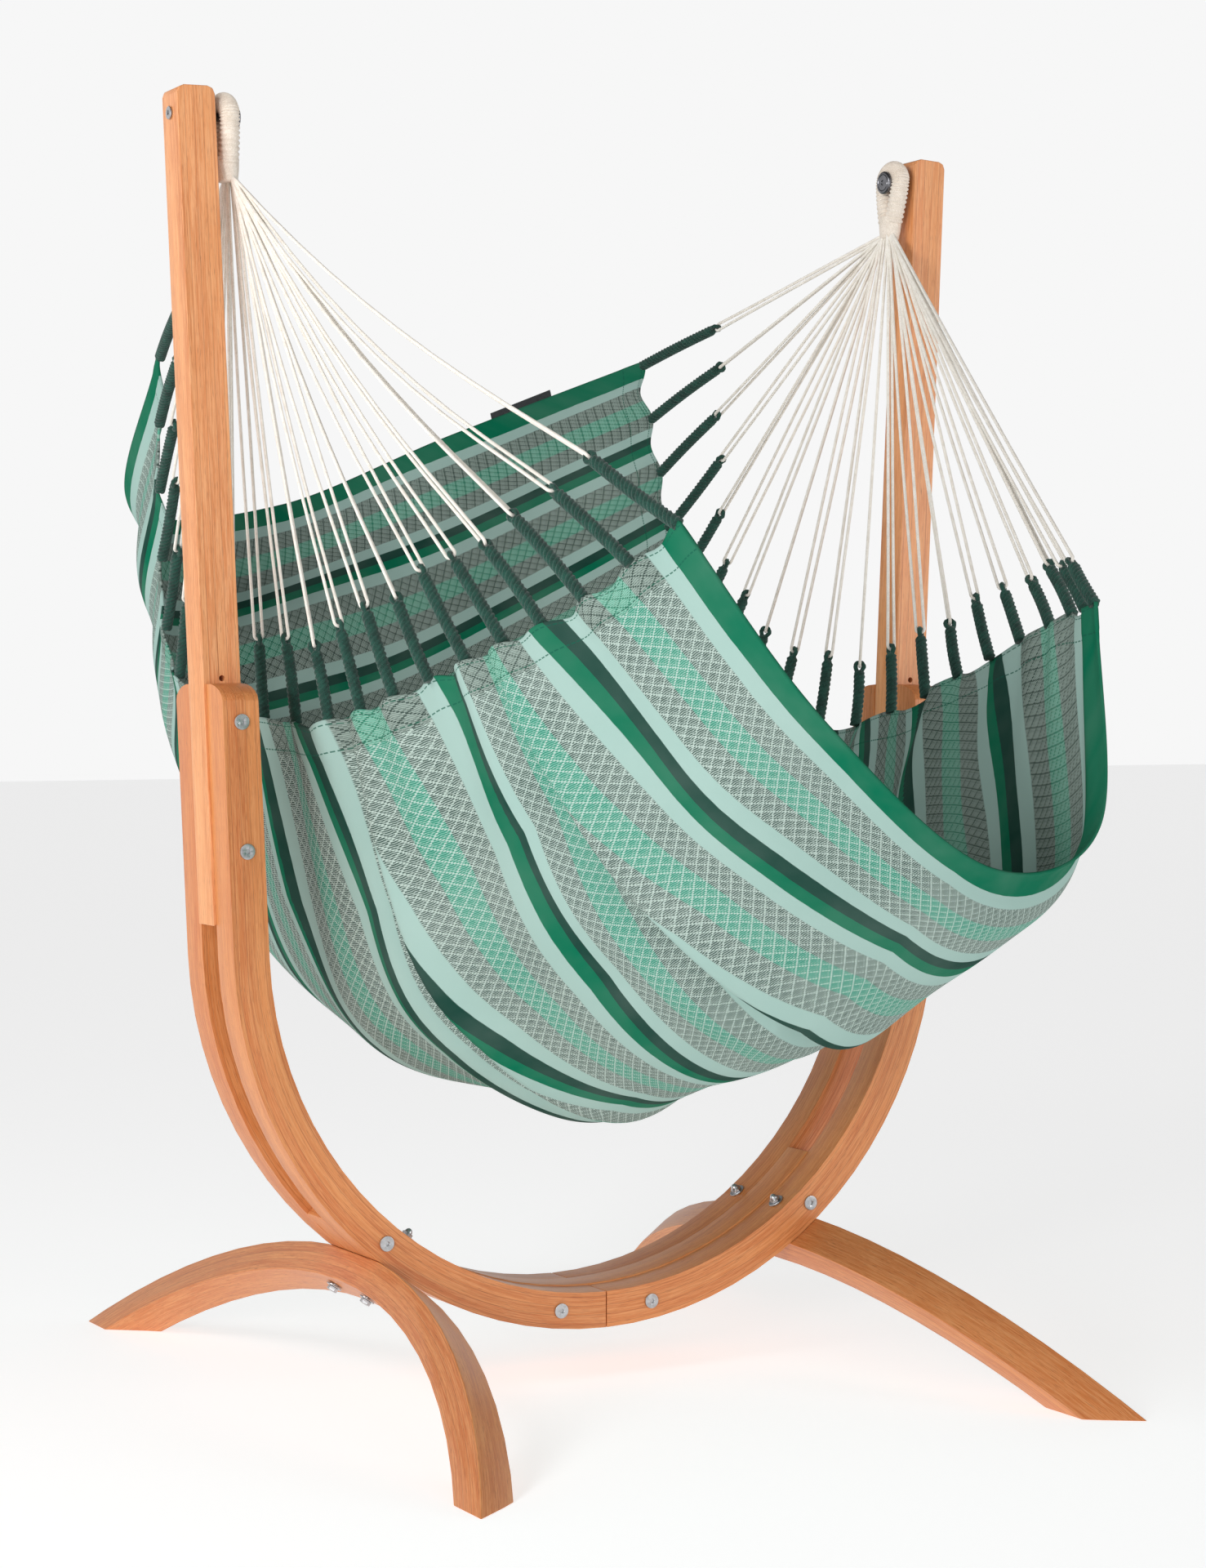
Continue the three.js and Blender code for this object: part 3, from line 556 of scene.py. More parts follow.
def steel_looks(name, colour, roughness):
    """Brushed steel, a little darker where it is worn."""
    m = Looks(name, roughness, 1.0)
    place = m.node("ShaderNodeTexCoord").outputs["Object"]
    brushed = m.noise(place, 900.0, 2.0)
    worn = m.noise(place, 120.0, 3.0)
    darker = tuple(0.72 * c for c in colour[:3]) + (1.0,)
    m.let("Base Color", m.mix(m.ramp(worn, 0.4, 0.7), colour, darker))
    m.let("Roughness", m.ramp(brushed, 0.3, 0.7, roughness - 0.07, roughness + 0.12))
    m.bump(brushed, 0.15, 0.0002)
    return m.material


def yarn_looks(name, light, dark, scale, roughness=0.9):
    """Spun yarn: fine fibres with a soft sheen."""
    m = Looks(name, roughness)
    place = m.node("ShaderNodeTexCoord").outputs["Object"]
    fibre = m.noise(place, scale, 3.0, 0.7)
    soft = m.noise(place, scale / 12, 2.0)
    tone = m.plus(m.times(fibre, 0.7), m.times(soft, 0.3))
    m.let("Base Color", m.mix(m.ramp(tone, 0.38, 0.62), dark, light))
    m.bump(fibre, 0.6, 0.0006)
    m.let("Sheen Weight", 0.25)
    m.let("Sheen Roughness", 0.5)
    return m.material


GREEN = rgb(0, 108, 78)
DARK_GREEN = rgb(24, 66, 56)
PALE = rgb(158, 188, 180)
PALE_SPECK = rgb(160, 190, 182)
MINT = rgb(34, 126, 102)
MINT_DASH = rgb(126, 186, 168)
GREY = rgb(34, 62, 54)
GREY_DASH = rgb(172, 190, 182)
DIAMOND = rgb(188, 206, 198)
INSIDE_MINT = rgb(88, 166, 142)
INSIDE_GREY = rgb(112, 130, 122)
INSIDE_DASH = rgb(180, 194, 186)
INSIDE_MINT_DIAMOND = rgb(8, 104, 78)
INSIDE_GREY_DIAMOND = rgb(18, 44, 38)
WORN = rgb(225, 232, 226)
STITCHING = rgb(24, 92, 74)

# How far from the middle of a pair of stripes each band starts, in stripe numbers.
PALE_FROM = 0.095
JACQUARD_FROM = 0.215
MINT_FROM = 0.405
BAND_EDGE = 0.004
BORDERS = (0.095, 12.905)  # the stripe numbers at the plain green hems
STRIPE_PITCH = 0.170  # flat distance between two pairs

# The weave, in metres.
DIAMOND_ALONG = 0.0165
DIAMOND_ACROSS = 0.0170
DIAMOND_STEP = 0.0021  # the diamonds' lines climb in steps
DASH_PITCH = 0.0025
DASH_WAVE = 0.009
THREAD_ALONG = 0.0011
THREAD_ACROSS = 0.0016
HEM_DEPTH = 0.045
STITCH_ROWS = (0.006, 0.040)  # from the end edge
STITCH_PITCH = 0.0052
STITCH_HALF_WIDTH = 0.0009


def crossing_lines(m, along, across, shift, width):
    """Two crossing sets of lines, one diamond apart."""
    a = m.over(along, DIAMOND_ALONG)
    b = m.over(across, DIAMOND_ACROSS)
    lines = []
    for kind in ("ADD", "SUBTRACT"):
        place = m.math("FRACT", m.plus(m.math(kind, a, b), shift))
        near = m.absolute(m.minus(place, 0.5))
        lines.append(m.math("LESS_THAN", near, width))
    return m.math("MAXIMUM", *lines)


def diamonds(m, along, across):
    """Clear lines, with a fainter and thinner set beside them."""
    steps = m.times(m.math("FLOOR", m.over(across, DIAMOND_STEP)), DIAMOND_STEP)
    clear = m.times(crossing_lines(m, along, steps, 0.0, 0.055), 0.85)
    faint = m.times(crossing_lines(m, along, steps, 0.30, 0.030), 0.45)
    return m.math("MAXIMUM", clear, faint)


def yarn_noise(m, along, across, lengthways, crossways, detail=1.0):
    place = m.join(m.times(along, lengthways), m.times(across, crossways))
    return m.noise(place, 1.0, detail)


def jacquard_looks(m, along, across, away, outside, net):
    """Grey and mint bands of wavy dashes under diamonds. The inside has dark diamonds."""
    wave = m.math("SINE", m.times(across, 2 * math.pi / DASH_WAVE))
    rows = m.plus(m.over(along, DASH_PITCH), m.times(wave, 0.12))
    dashes = m.above(m.math("FRACT", rows), 0.5, 0.16)
    broken = m.above(yarn_noise(m, along, across, 330.0, 160.0), 0.62, 0.05)
    mint_here = m.above(away, MINT_FROM, BAND_EDGE)
    ground = m.mix(mint_here, GREY, MINT)
    outer = m.mix(m.times(dashes, 0.85), ground, m.mix(mint_here, GREY_DASH, MINT_DASH))
    outer = m.mix(m.times(broken, 0.35), outer, ground)
    outer = m.mix(net, outer, DIAMOND)
    inner = m.mix(mint_here, INSIDE_GREY, INSIDE_MINT)
    inner = m.mix(m.times(dashes, 0.5), inner, INSIDE_DASH)
    inner = m.mix(net, inner, m.mix(mint_here, INSIDE_GREY_DIAMOND, INSIDE_MINT_DIAMOND))
    return m.mix(outside, inner, outer)


def pair_looks(m, number, signed):
    """Green beside dark green, which is on the side of the nearer hem."""
    front = m.above(number, STRIPE_MIDDLE)
    ahead = m.above(signed, 0.0)
    dark_here = m.minus(1.0, m.absolute(m.minus(front, ahead)))
    return m.mix(dark_here, GREEN, DARK_GREEN)


def stitches(m, from_end, across):
    dash = m.above(m.math("FRACT", m.over(across, STITCH_PITCH)), 0.3)
    rows = [m.absolute(m.minus(from_end, row)) for row in STITCH_ROWS]
    near = m.math("LESS_THAN", m.math("MINIMUM", *rows), STITCH_HALF_WIDTH)
    return m.times(near, dash)


def cloth_looks():
    """Woven stripes. UV u is the place along the cloth in metres and v the stripe number;
    the face attribute is 1 on the outside and 0 on the inside."""
    m = Looks("striped_cloth", 0.88)
    along, number, _ = m.split(m.node("ShaderNodeUVMap", uv_map="stripes").outputs[0])
    from_end = m.attribute("from_end").outputs["Fac"]
    body_cloth = m.above(from_end, HEM_DEPTH)  # the hem shows the other side of the weave
    outside = m.times(m.above(m.attribute("face").outputs["Fac"], 0.5), body_cloth)
    waver = m.minus(m.noise(m.join(along, number), 60.0, 2.0), 0.5)
    number = m.plus(number, m.times(waver, 0.006))
    signed = m.minus(number, m.math("ROUND", number))
    away = m.absolute(signed)
    across = m.times(number, STRIPE_PITCH)
    net = diamonds(m, along, across)

    speck = yarn_noise(m, along, across, 1200.0, 300.0)
    pale = m.mix(m.ramp(speck, 0.35, 0.7, 0.0, 0.6), PALE, PALE_SPECK)
    jacquard = jacquard_looks(m, along, across, away, outside, net)
    base = m.mix(m.above(away, PALE_FROM, BAND_EDGE / 2), pair_looks(m, number, signed), pale)
    base = m.mix(m.above(away, JACQUARD_FROM, BAND_EDGE), base, jacquard)
    border = m.plus(m.above(number, BORDERS[1]), m.math("LESS_THAN", number, BORDERS[0]))
    base = m.mix(border, base, GREEN)
    broad = yarn_noise(m, along, across, 9.0, 9.0, 3.0)
    base = m.mix(m.ramp(broad, 0.35, 0.7, 0.0, 0.05), base, WORN)
    base = m.mix(m.times(stitches(m, from_end, across), 0.8), base, STITCHING)
    m.let("Base Color", base)

    warp = m.math("SINE", m.times(along, 2 * math.pi / THREAD_ALONG))
    weft = m.math("SINE", m.times(across, 2 * math.pi / THREAD_ACROSS))
    raised = m.times(net, m.above(away, JACQUARD_FROM))
    height = m.plus(m.times(m.times(warp, weft), 0.25), m.times(raised, 0.8))
    m.bump(m.plus(height, m.times(broad, 1.5)), 0.45, 0.0009)
    m.let("Specular IOR Level", 0.12)
    return m.material


# ---- cords ----


CORD_START = 0.008  # the cords start this high inside the whipped neck
LEG_POINTS = 11
LEFT_SAG = 0.062  # more than any cord of this end sags
RIGHT_SAG = 0.016


def cord_sag(side, k):
    """About how far cord k hangs below its straight line: the front of the left end is slack."""
    share = k / (CORD_COUNT - 1)
    most = LEFT_SAG if side < 0 else RIGHT_SAG
    uneven = 0.75 + 0.25 * math.sin(2.9 * k + 0.6)
    return most * uneven * share**1.2


def cord_route(side, k):
    """Down from the neck, through the rope's eye, round its strand and back up."""
    sewn, eye = rope_ends(side, k)
    middle = neck_at(side)
    level = (eye - middle) * np.array([1.0, 1.0, 0.0])
    neck = middle + NECK_RADIUS * unit(level) + np.array([0.0, 0.0, CORD_START])
    down = unit(eye - neck)
    spread = unit(np.cross(down, eye_across(k, unit(eye - sewn))))
    turn_radius = EYE_STRAND + CORD_DIAMETER / 2
    reach = np.linalg.norm(eye - neck) + EYE_STRAND
    bow = 0.0015 + 0.0035 * math.sin(1.7 * k) ** 2
    sag = cord_sag(side, k) * np.array([0.0, 0.0, -1.0])
    stations = np.linspace(0.0, 1.0, LEG_POINTS)
    offset = CORD_DIAMETER / 2 + (turn_radius - CORD_DIAMETER / 2) * stations**4
    offset += bow * np.sin(math.pi * stations)
    line = neck + np.outer(stations * reach, down)
    line += np.outer(4 * stations * (1 - stations) ** 1.2, sag)
    turn_centre = neck + down * reach
    bend = []
    for a in np.linspace(0, math.pi, 9)[1:-1]:
        bend.append(turn_centre + turn_radius * (spread * math.cos(a) + down * math.sin(a)))
    return np.concatenate([line + np.outer(offset, spread), bend, (line - np.outer(offset, spread))[::-1]])


def make_cords(looks):
    for side in (-1, 1):
        for k in range(CORD_COUNT):
            route = cord_route(side, k)
            name = f"cord_{side_name(side)}_{k + 1:02d}"
            curve = bpy.data.curves.new(name, "CURVE")
            curve.dimensions = "3D"
            spline = curve.splines.new("POLY")
            spline.points.add(len(route) - 1)
            for point, place in zip(spline.points, route):
                point.co = (*place, 1.0)
            curve.bevel_depth = CORD_DIAMETER / 2
            curve.bevel_resolution = 3
            curve.materials.append(looks)
            cord = bpy.data.objects.new(name, curve)
            bpy.context.scene.collection.objects.link(cord)
            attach(cord, "hammock")
            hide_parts(f"suspension_cords_{side_name(side)}")


# ---- ropes ----

ROPE_RADIUS = 0.0088
ROPE_LAY = 0.030  # length of one turn of its four strands
ROPE_SIDES = 24
ROPE_STEP = 0.0017
ROPE_SEWN = 0.004  # how far it goes into the hem
EYE_LENGTH = 0.019
EYE_SIDES = 10
EYE_STATIONS = 46


def rope_body(side, k):
    """The laid part, from the hem to its eye."""
    sewn, eye = rope_ends(side, k)
    up = unit(eye - sewn)
    straight = np.linalg.norm(eye - sewn) - EYE_LENGTH + 0.003
    stations = np.linspace(-ROPE_SEWN, straight, int(straight / ROPE_STEP))
    sway = 0.0016 * np.sin(math.pi * stations / straight)
    points = sewn + np.outer(stations, up) + np.outer(sway, eye_across(k, up))
    angle = around(ROPE_SIDES)

    def section(i, share):
        turn = (stations[i] / ROPE_LAY) * 2 * math.pi
        lobes = 0.66 + 0.34 * np.abs(np.cos(2 * (angle - turn))) ** 0.8
        close = min(1.0, 0.62 + (straight - stations[i]) / 0.012)
        return ROPE_RADIUS * lobes * close, angle

    return points, section


def rope_eye(side, k):
    """The strand that leaves the laid part, turns round the cord and comes back."""
    sewn, eye = rope_ends(side, k)
    up = unit(eye - sewn)
    across = eye_across(k, up)
    half = EYE_STRAND + CORD_DIAMETER / 2
    bend_at = EYE_LENGTH - EYE_STRAND - half
    outline = [(0.0024, -0.006), (0.0030, 0.000), (half, 0.0075), (half, bend_at)]
    for a in np.linspace(0, math.pi, 9)[1:-1]:
        outline.append((half * math.cos(a), bend_at + half * math.sin(a)))
    outline += [(-x, z) for x, z in reversed(outline[:4])]
    base = eye - up * EYE_LENGTH
    anchors = [base + across * x + up * z for x, z in outline]
    points = np.array([through(anchors, t) for t in np.linspace(0, 1, EYE_STATIONS)])
    angle = around(EYE_SIDES)

    def section(i, share):
        return EYE_STRAND * (0.88 + 0.12 * np.cos(3 * angle - share * 28)), angle

    return points, section


def make_ropes(looks):
    made = []
    for side in (-1, 1):
        shape = Shape()
        for k in range(CORD_COUNT):
            shape.add(*sweep(*rope_body(side, k)))
            shape.add(*sweep(*rope_eye(side, k)))
        name = side_name(side)
        replaced = [f"rope_fringe_{name}"]
        made.append(add_piece(f"rope_eyes_{name}", *shape.arrays(), looks, "hammock", "green_rope", replaced))
    return made


# ---- eye loops ----


LOOP_FOOT = 0.026  # the legs end this high in the whipped neck
LOOP_STATIONS = 420
LOOP_WRAPS = 48
LOOP_SIDES = 20
WHIPPING_TOP = 0.036
WHIPPING_RINGS = 40
WHIPPING_SIDES = 72


def loop_place(side, y, z):
    """A point in the loop's own plane, which leans with the pull of the cords."""
    lean = (LOOP_X - NECK_X) / (LOOP_CROWN - NECK_Z)
    return np.array([side * (NECK_X + lean * (z - NECK_Z)), y, z])


def loop_legs(side):
    """The wrapped cord: up one leg, over the peg and down the other."""
    centre_z = LOOP_CROWN - LOOP_RADIUS
    low = NECK_Z + LOOP_FOOT
    waist_z = (centre_z + low) / 2 + 0.004
    leg = [loop_place(side, 0.0075, low), loop_place(side, 0.80 * LOOP_RADIUS, waist_z)]
    anchors = list(leg)
    for turn in np.linspace(0, math.pi, 7):
        y, z = LOOP_RADIUS * math.cos(turn), centre_z + LOOP_RADIUS * math.sin(turn)
        anchors.append(loop_place(side, y, z))
    anchors += [place * np.array([1, -1, 1]) for place in reversed(leg)]
    route = np.array([through(anchors, t) for t in np.linspace(0, 1, LOOP_STATIONS)])
    angle = around(LOOP_SIDES)

    def section(i, share):
        wrap = abs(math.sin(math.pi * share * LOOP_WRAPS))
        return (LOOP_CORD_RADIUS - 0.0020 + 0.0026 * wrap) * np.ones(LOOP_SIDES), angle

    return route, section


def loop_whipping(side):
    """The binding that gathers both legs into the neck."""
    top, bottom = loop_place(side, 0, NECK_Z + WHIPPING_TOP), loop_place(side, 0, NECK_Z)
    route = top + np.outer(np.linspace(0, 1, WHIPPING_RINGS), bottom - top)
    angle = around(WHIPPING_SIDES)

    def section(i, share):
        wide = 0.0195 - 0.0040 * share + 0.0012 * math.sin(math.pi * share)
        close = min(1.0, 0.72 + share / 0.12, 0.86 + (1 - share) / 0.3)
        threads = 0.0007 * np.abs(np.sin(9 * (angle + 0.5 * share)))
        flat = 1 - 0.16 * np.abs(np.sin(angle))
        return wide * close * flat + threads, angle

    return route, section


def make_loop(side, looks):
    shape = Shape()
    shape.add(*sweep(*loop_legs(side)))
    shape.add(*sweep(*loop_whipping(side)))
    name = side_name(side)
    replaced = [f"eye_loop_{name}"]
    return add_piece(f"whipped_loop_{name}", *shape.arrays(), looks, "hammock", "cotton_cord", replaced)


# ---- cloth ----

COLUMNS = 210
ROWS = 470
SCALLOP = 0.010  # how far the end edges hang back between the ropes
LIP_WIDTH = 0.007  # of a tuck's edge
GATHER = 0.0045
LAZY_WAVE = 0.0055
# Slack waves: how many along and across the cloth, their phase and height.
SLACK_WAVES = [
    (2.3, 5.1, 0.4, 0.0040),
    (1.1, 7.7, 2.1, 0.0035),
    (3.4, 3.2, 4.0, 0.0025),
    (0.6, 12.3, 1.0, 0.0022),
]
END_HEM_EXTRA = 0.0022
SIDE_HEM_EXTRA = 0.0014
SIDE_HEM_DEPTH = 0.020
HEM_STEP = 0.003
SEAM_PLACES = (HEM_DEPTH - 0.004, 0.007)  # from the end edge
SEAM_DIP = 0.0014
SEAM_WIDTH = 0.0022


def station_value(values, u):
    """A tuck's or stripe line's value at u, smooth between the stations."""
    return np.interp(u, STATION_AXIS, values)


def stripe_numbers(u, v):
    """The stripe number at each v of one column."""
    entries = [(0.0, 0.0)]
    hidden = []
    for tuck in TUCKS:
        line = float(station_value(tuck["line"], u))
        low = float(station_value(tuck["low"], u))
        high = float(station_value(tuck["high"], u))
        hidden.append((low, high))
        entries += [(line - 0.0012, low), (line + 0.0012, high)]
    for number, places in STRIPE_LINES:
        if not any(low <= number <= high for low, high in hidden):
            entries.append((float(station_value(places, u)), number))
    entries.append((1.0, 13.1))
    entries.sort(key=lambda e: e[0])
    places = np.array([e[0] for e in entries])
    numbers = np.maximum.accumulate([e[1] for e in entries])
    return np.interp(v, places, numbers)


def outward_normals(grid):
    """Unit normals on the outside, which is the underside of the seat."""
    normal = np.cross(np.gradient(grid, axis=1), np.gradient(grid, axis=0))
    normal /= np.linalg.norm(normal, axis=-1, keepdims=True)
    return -normal if normal[ROWS // 2, COLUMNS // 2][2] > 0 else normal


def rope_wave(v):
    """1 where a rope is sewn in, and -1 midway between two."""
    pitch = rope_place(1) - rope_place(0)
    return np.cos((v - rope_place(0)) / pitch * 2 * math.pi)[:, None]


def tuck_rise(u, v):
    """At each tuck the cloth rises to a lip, and dives behind it."""
    rise = np.zeros((ROWS, COLUMNS))
    for tuck in TUCKS:
        away = (v[:, None] - station_value(tuck["line"], u)) * CLOTH_WIDTH
        lip = 0.5 + 0.5 * np.tanh(away / LIP_WIDTH)
        over = np.exp(-((away / 0.055) ** 2)) * lip
        dive = 1.15 * np.exp(-((away / 0.034) ** 2))
        swell = 0.55 * np.exp(-(((away + 0.075) / 0.036) ** 2))
        rise += station_value(tuck["depth"], u) * (over + (swell - dive) * (1 - lip))
    return rise


def slack_rise(u, v, from_end):
    """Gathers from the ropes, and the slack cloth's broad waves."""
    rise = GATHER * rope_wave(v) * np.exp(-from_end / 0.11)
    rise += LAZY_WAVE * np.cos(v * 2 * math.pi * 9.5 + 1.3)[:, None] * np.exp(-from_end / 0.34)
    for a, b, phase, size in SLACK_WAVES:
        rise += size * np.sin(2 * math.pi * (a * u[None, :] + b * v[:, None]) + phase)
    return rise


def cloth_thickness(v, from_end):
    """The hems are thicker, as folded cloth is, and their seams pull them in."""
    from_side = np.minimum(v, 1 - v)[:, None] * CLOTH_WIDTH
    thick = np.full((ROWS, COLUMNS), CLOTH_THICKNESS)
    thick += END_HEM_EXTRA * (0.5 - 0.5 * np.tanh((from_end - HEM_DEPTH) / HEM_STEP))
    thick += SIDE_HEM_EXTRA * (0.5 - 0.5 * np.tanh((from_side - SIDE_HEM_DEPTH) / HEM_STEP))
    for place in SEAM_PLACES:
        thick -= SEAM_DIP * np.exp(-(((from_end - place) / SEAM_WIDTH) ** 2))
    return thick


def cloth_faces():
    """Quads of the outer layer, the inner layer and the rim that joins them."""
    index = np.arange(ROWS * COLUMNS).reshape(ROWS, COLUMNS)
    layer = ROWS * COLUMNS
    corners = [index[:-1, :-1], index[1:, :-1], index[1:, 1:], index[:-1, 1:]]
    outer = np.stack(corners, axis=-1).reshape(-1, 4)
    parts = [outer, outer[:, ::-1] + layer]
    border = [index[:, 0], index[-1, :], index[::-1, -1], index[0, ::-1]]
    for line in border:
        a, b = line[:-1], line[1:]
        parts.append(np.stack([a, a + layer, b + layer, b], axis=1))
    return np.concatenate(parts)


def mark_cloth(mesh, u, v, flat_along, from_end):
    """The places that the looks read: UV, and the face and from_end attributes."""
    numbers = np.stack([stripe_numbers(s, v) for s in u], axis=1)
    per_vertex = np.stack([flat_along.ravel(), numbers.ravel()], axis=1)
    per_vertex = np.concatenate([per_vertex, per_vertex])
    corners = np.empty(len(mesh.loops), dtype=np.int32)
    mesh.loops.foreach_get("vertex_index", corners)
    stripes = mesh.uv_layers.new(name="stripes")
    stripes.data.foreach_set("uv", per_vertex[corners].astype(np.float32).ravel())
    layer = ROWS * COLUMNS
    values = {
        "face": np.concatenate([np.ones(layer), np.zeros(layer)]),
        "from_end": np.concatenate([from_end.ravel()] * 2),
    }
    for name, value in values.items():
        mesh.attributes.new(name, "FLOAT", "POINT").data.foreach_set("value", value.astype(np.float32))


def make_cloth(looks):
    u = np.linspace(0, 1, COLUMNS)
    v = np.linspace(0, 1, ROWS)
    rows = np.array([[through(CLOTH[:, j], t) for t in v] for j in range(CLOTH.shape[1])])
    grid = np.array([[through(rows[:, i], s) for s in u] for i in range(ROWS)])
    length = np.linalg.norm(np.diff(grid, axis=1), axis=-1).sum(axis=1)[:, None]
    from_left = u[None, :] * length
    from_end = np.minimum(from_left, length - from_left)

    edge_calm = np.clip(np.minimum(v, 1 - v)[:, None] / 0.03, 0, 1)
    rise = (tuck_rise(u, v) + slack_rise(u, v, from_end)) * (0.25 + 0.75 * edge_calm)
    grid = grid + outward_normals(grid) * rise[..., None]

    along = np.gradient(grid, axis=1)
    along /= np.linalg.norm(along, axis=-1, keepdims=True)
    scallop = SCALLOP * (0.5 - 0.5 * rope_wave(v)) * (1 + 0.25 * np.sin(37 * v))[:, None]
    inward = np.where(from_left < length / 2, 1.0, -1.0)
    grid = grid + along * (inward * scallop * np.exp(-from_end / 0.03))[..., None]

    half = outward_normals(grid) * cloth_thickness(v, from_end)[..., None] / 2
    verts = np.concatenate([(grid + half).reshape(-1, 3), (grid - half).reshape(-1, 3)])
    faces = cloth_faces()
    p, q, r = verts[faces[0][:3]]
    if np.cross(q - p, r - p).dot(half[0, 0]) < 0:
        faces = faces[:, ::-1]
    piece = add_piece("hammock_cloth", verts, faces, looks, "hammock", "striped_fabric", ["fabric_panel"])
    mark_cloth(piece.data, u, v, from_left, from_end)
    return piece


LABEL_U = (0.80, 0.88)  # where it is on the back hem
LABEL_HEIGHT = 0.020
LABEL_SEWN = 0.006
LABEL_HALF_THICKNESS = 0.0009
LABEL_COLUMNS = 16
LABEL_ROWS = 10


def make_label():
    """A plain folded tab, sewn over the back hem."""
    verts = []
    for u in np.linspace(*LABEL_U, LABEL_COLUMNS + 1):
        base, below = cloth_point(u, 0.0), cloth_point(u, 0.03)
        up = unit(base - below)
        ahead = unit(np.cross(up, cloth_point(u + 0.01, 0.0) - base))
        for turn in np.linspace(0, math.pi, LABEL_ROWS + 1):
            rise = LABEL_HEIGHT * (abs(math.sin(turn)) ** 0.35) - LABEL_SEWN
            verts.append(base + up * rise + ahead * LABEL_HALF_THICKNESS * math.cos(turn))
    looks = yarn_looks("label_cloth", rgb(52, 56, 58), rgb(24, 27, 30), 1500.0)
    faces = ring_faces(LABEL_COLUMNS + 1, LABEL_ROWS + 1)
    return add_piece("plain_label", verts, faces, looks, "hammock", "striped_fabric", (), math.radians(40))


# ---- timber ----

ROUNDING = 0.0075
ROUNDED_ANGLE = math.radians(32)  # sharper edges than this are rounded
FLAT_ANGLE = math.radians(0.5)
SHADED_ANGLE = math.radians(28)


def make_timber(name, looks):
    """The CAD shape with its sharp edges rounded."""
    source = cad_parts[name]
    work = bmesh.new()
    work.from_mesh(source.data)
    work.transform(source.matrix_world)
    bmesh.ops.remove_doubles(work, verts=work.verts, dist=1e-5)
    bmesh.ops.dissolve_limit(
        work, angle_limit=FLAT_ANGLE, use_dissolve_boundaries=False, verts=work.verts, edges=work.edges
    )
    edges = []
    for e in work.edges:
        if len(e.link_faces) == 2 and e.calc_length() > ROUNDING and e.calc_face_angle(0.0) > ROUNDED_ANGLE:
            edges.append(e)
    bmesh.ops.bevel(
        work,
        geom=edges,
        offset=ROUNDING,
        offset_type="OFFSET",
        segments=4,
        profile=0.5,
        affect="EDGES",
        clamp_overlap=True,
    )
    mesh = bpy.data.meshes.new(name)
    work.to_mesh(mesh)
    work.free()
    mesh.polygons.foreach_set("use_smooth", [True] * len(mesh.polygons))
    mesh.set_sharp_from_angle(angle=SHADED_ANGLE)
    mesh.materials.append(looks)
    phase = 3.1 * (sum(map(ord, name)) % 17)
    attribute = mesh.attributes.new("phase", "FLOAT", "POINT")
    attribute.data.foreach_set("value", [phase] * len(mesh.vertices))
    piece = bpy.data.objects.new("wood_" + name, mesh)
    bpy.context.scene.collection.objects.link(piece)
    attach(piece, "stand")
    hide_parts(name)
    return piece


# ---- hardware ----


TIP = 0.00002  # the radius where a turned shape closes
GAP = 0.0003  # between touching pieces, as in the CAD model
BORE_RADIUS = 0.0046
SOCKET = 0.0032
RIM = 0.0007
CHAMFER = 0.0004
NUT_APOTHEM = 0.93 * NUT_RADIUS
NUT_CLEARANCE = 0.001  # between a washer and the beam inside the U
ARCH_CLEARANCE = 0.0025


def head_rings(radius, thickness, depth, tail):
    """A flat head with rounded rim and hexagon socket, then its tail, from the socket's floor out."""
    return [
        (TIP, thickness - depth),
        (SOCKET, thickness - depth, "hex"),
        (SOCKET, thickness - 0.0002, "hex"),
        (SOCKET + CHAMFER, thickness),
        (radius - 2 * RIM, thickness),
        (radius - 0.4 * RIM, thickness - 0.3 * RIM),
        (radius, thickness - RIM),
        (radius, 0.0003),
        (radius - 0.0003, 0.0),
        *tail,
    ]


def rod_rings(reach):
    return [(ROD_RADIUS, 0.0), (ROD_RADIUS, -reach), (TIP, -reach)]


def barrel_rings(reach, floor):
    """A sleeve that is open at its far end and bored down to its floor."""
    outer = [(SLEEVE_RADIUS, 0.0), (SLEEVE_RADIUS, -reach)]
    return outer + [(BORE_RADIUS, -reach), (BORE_RADIUS, -floor), (TIP, -floor)]


def washer_rings():
    face = [(BORE_RADIUS, 0.0), (WASHER_RADIUS - CHAMFER, 0.0), (WASHER_RADIUS, CHAMFER)]
    return face + [(r, WASHER_THICKNESS - z) for r, z in reversed(face)] + face[:1]


def leg_bolt_rings(reach):
    a = NUT_APOTHEM
    head = [(TIP, 0.0062), (a - 0.0014, 0.0062), (a - 0.0003, 0.0058, "hex"), (a, 0.0050, "hex")]
    return head + [(a, 0.0003, "hex"), (a - 0.0005, 0.0)] + rod_rings(reach)


def cap_nut_rings():
    a = NUT_APOTHEM
    dome = [(TIP, 0.0116), (0.0024, 0.0111), (0.0044, 0.0094), (0.0056, 0.0068), (0.0059, 0.0052)]
    flats = [(a - 0.0003, 0.0050), (a, 0.0044, "hex"), (a, 0.0003, "hex"), (a - 0.0004, 0.0)]
    return dome + flats + [(0.0047, 0.0), (0.0047, 0.0070), (TIP, 0.0070)]


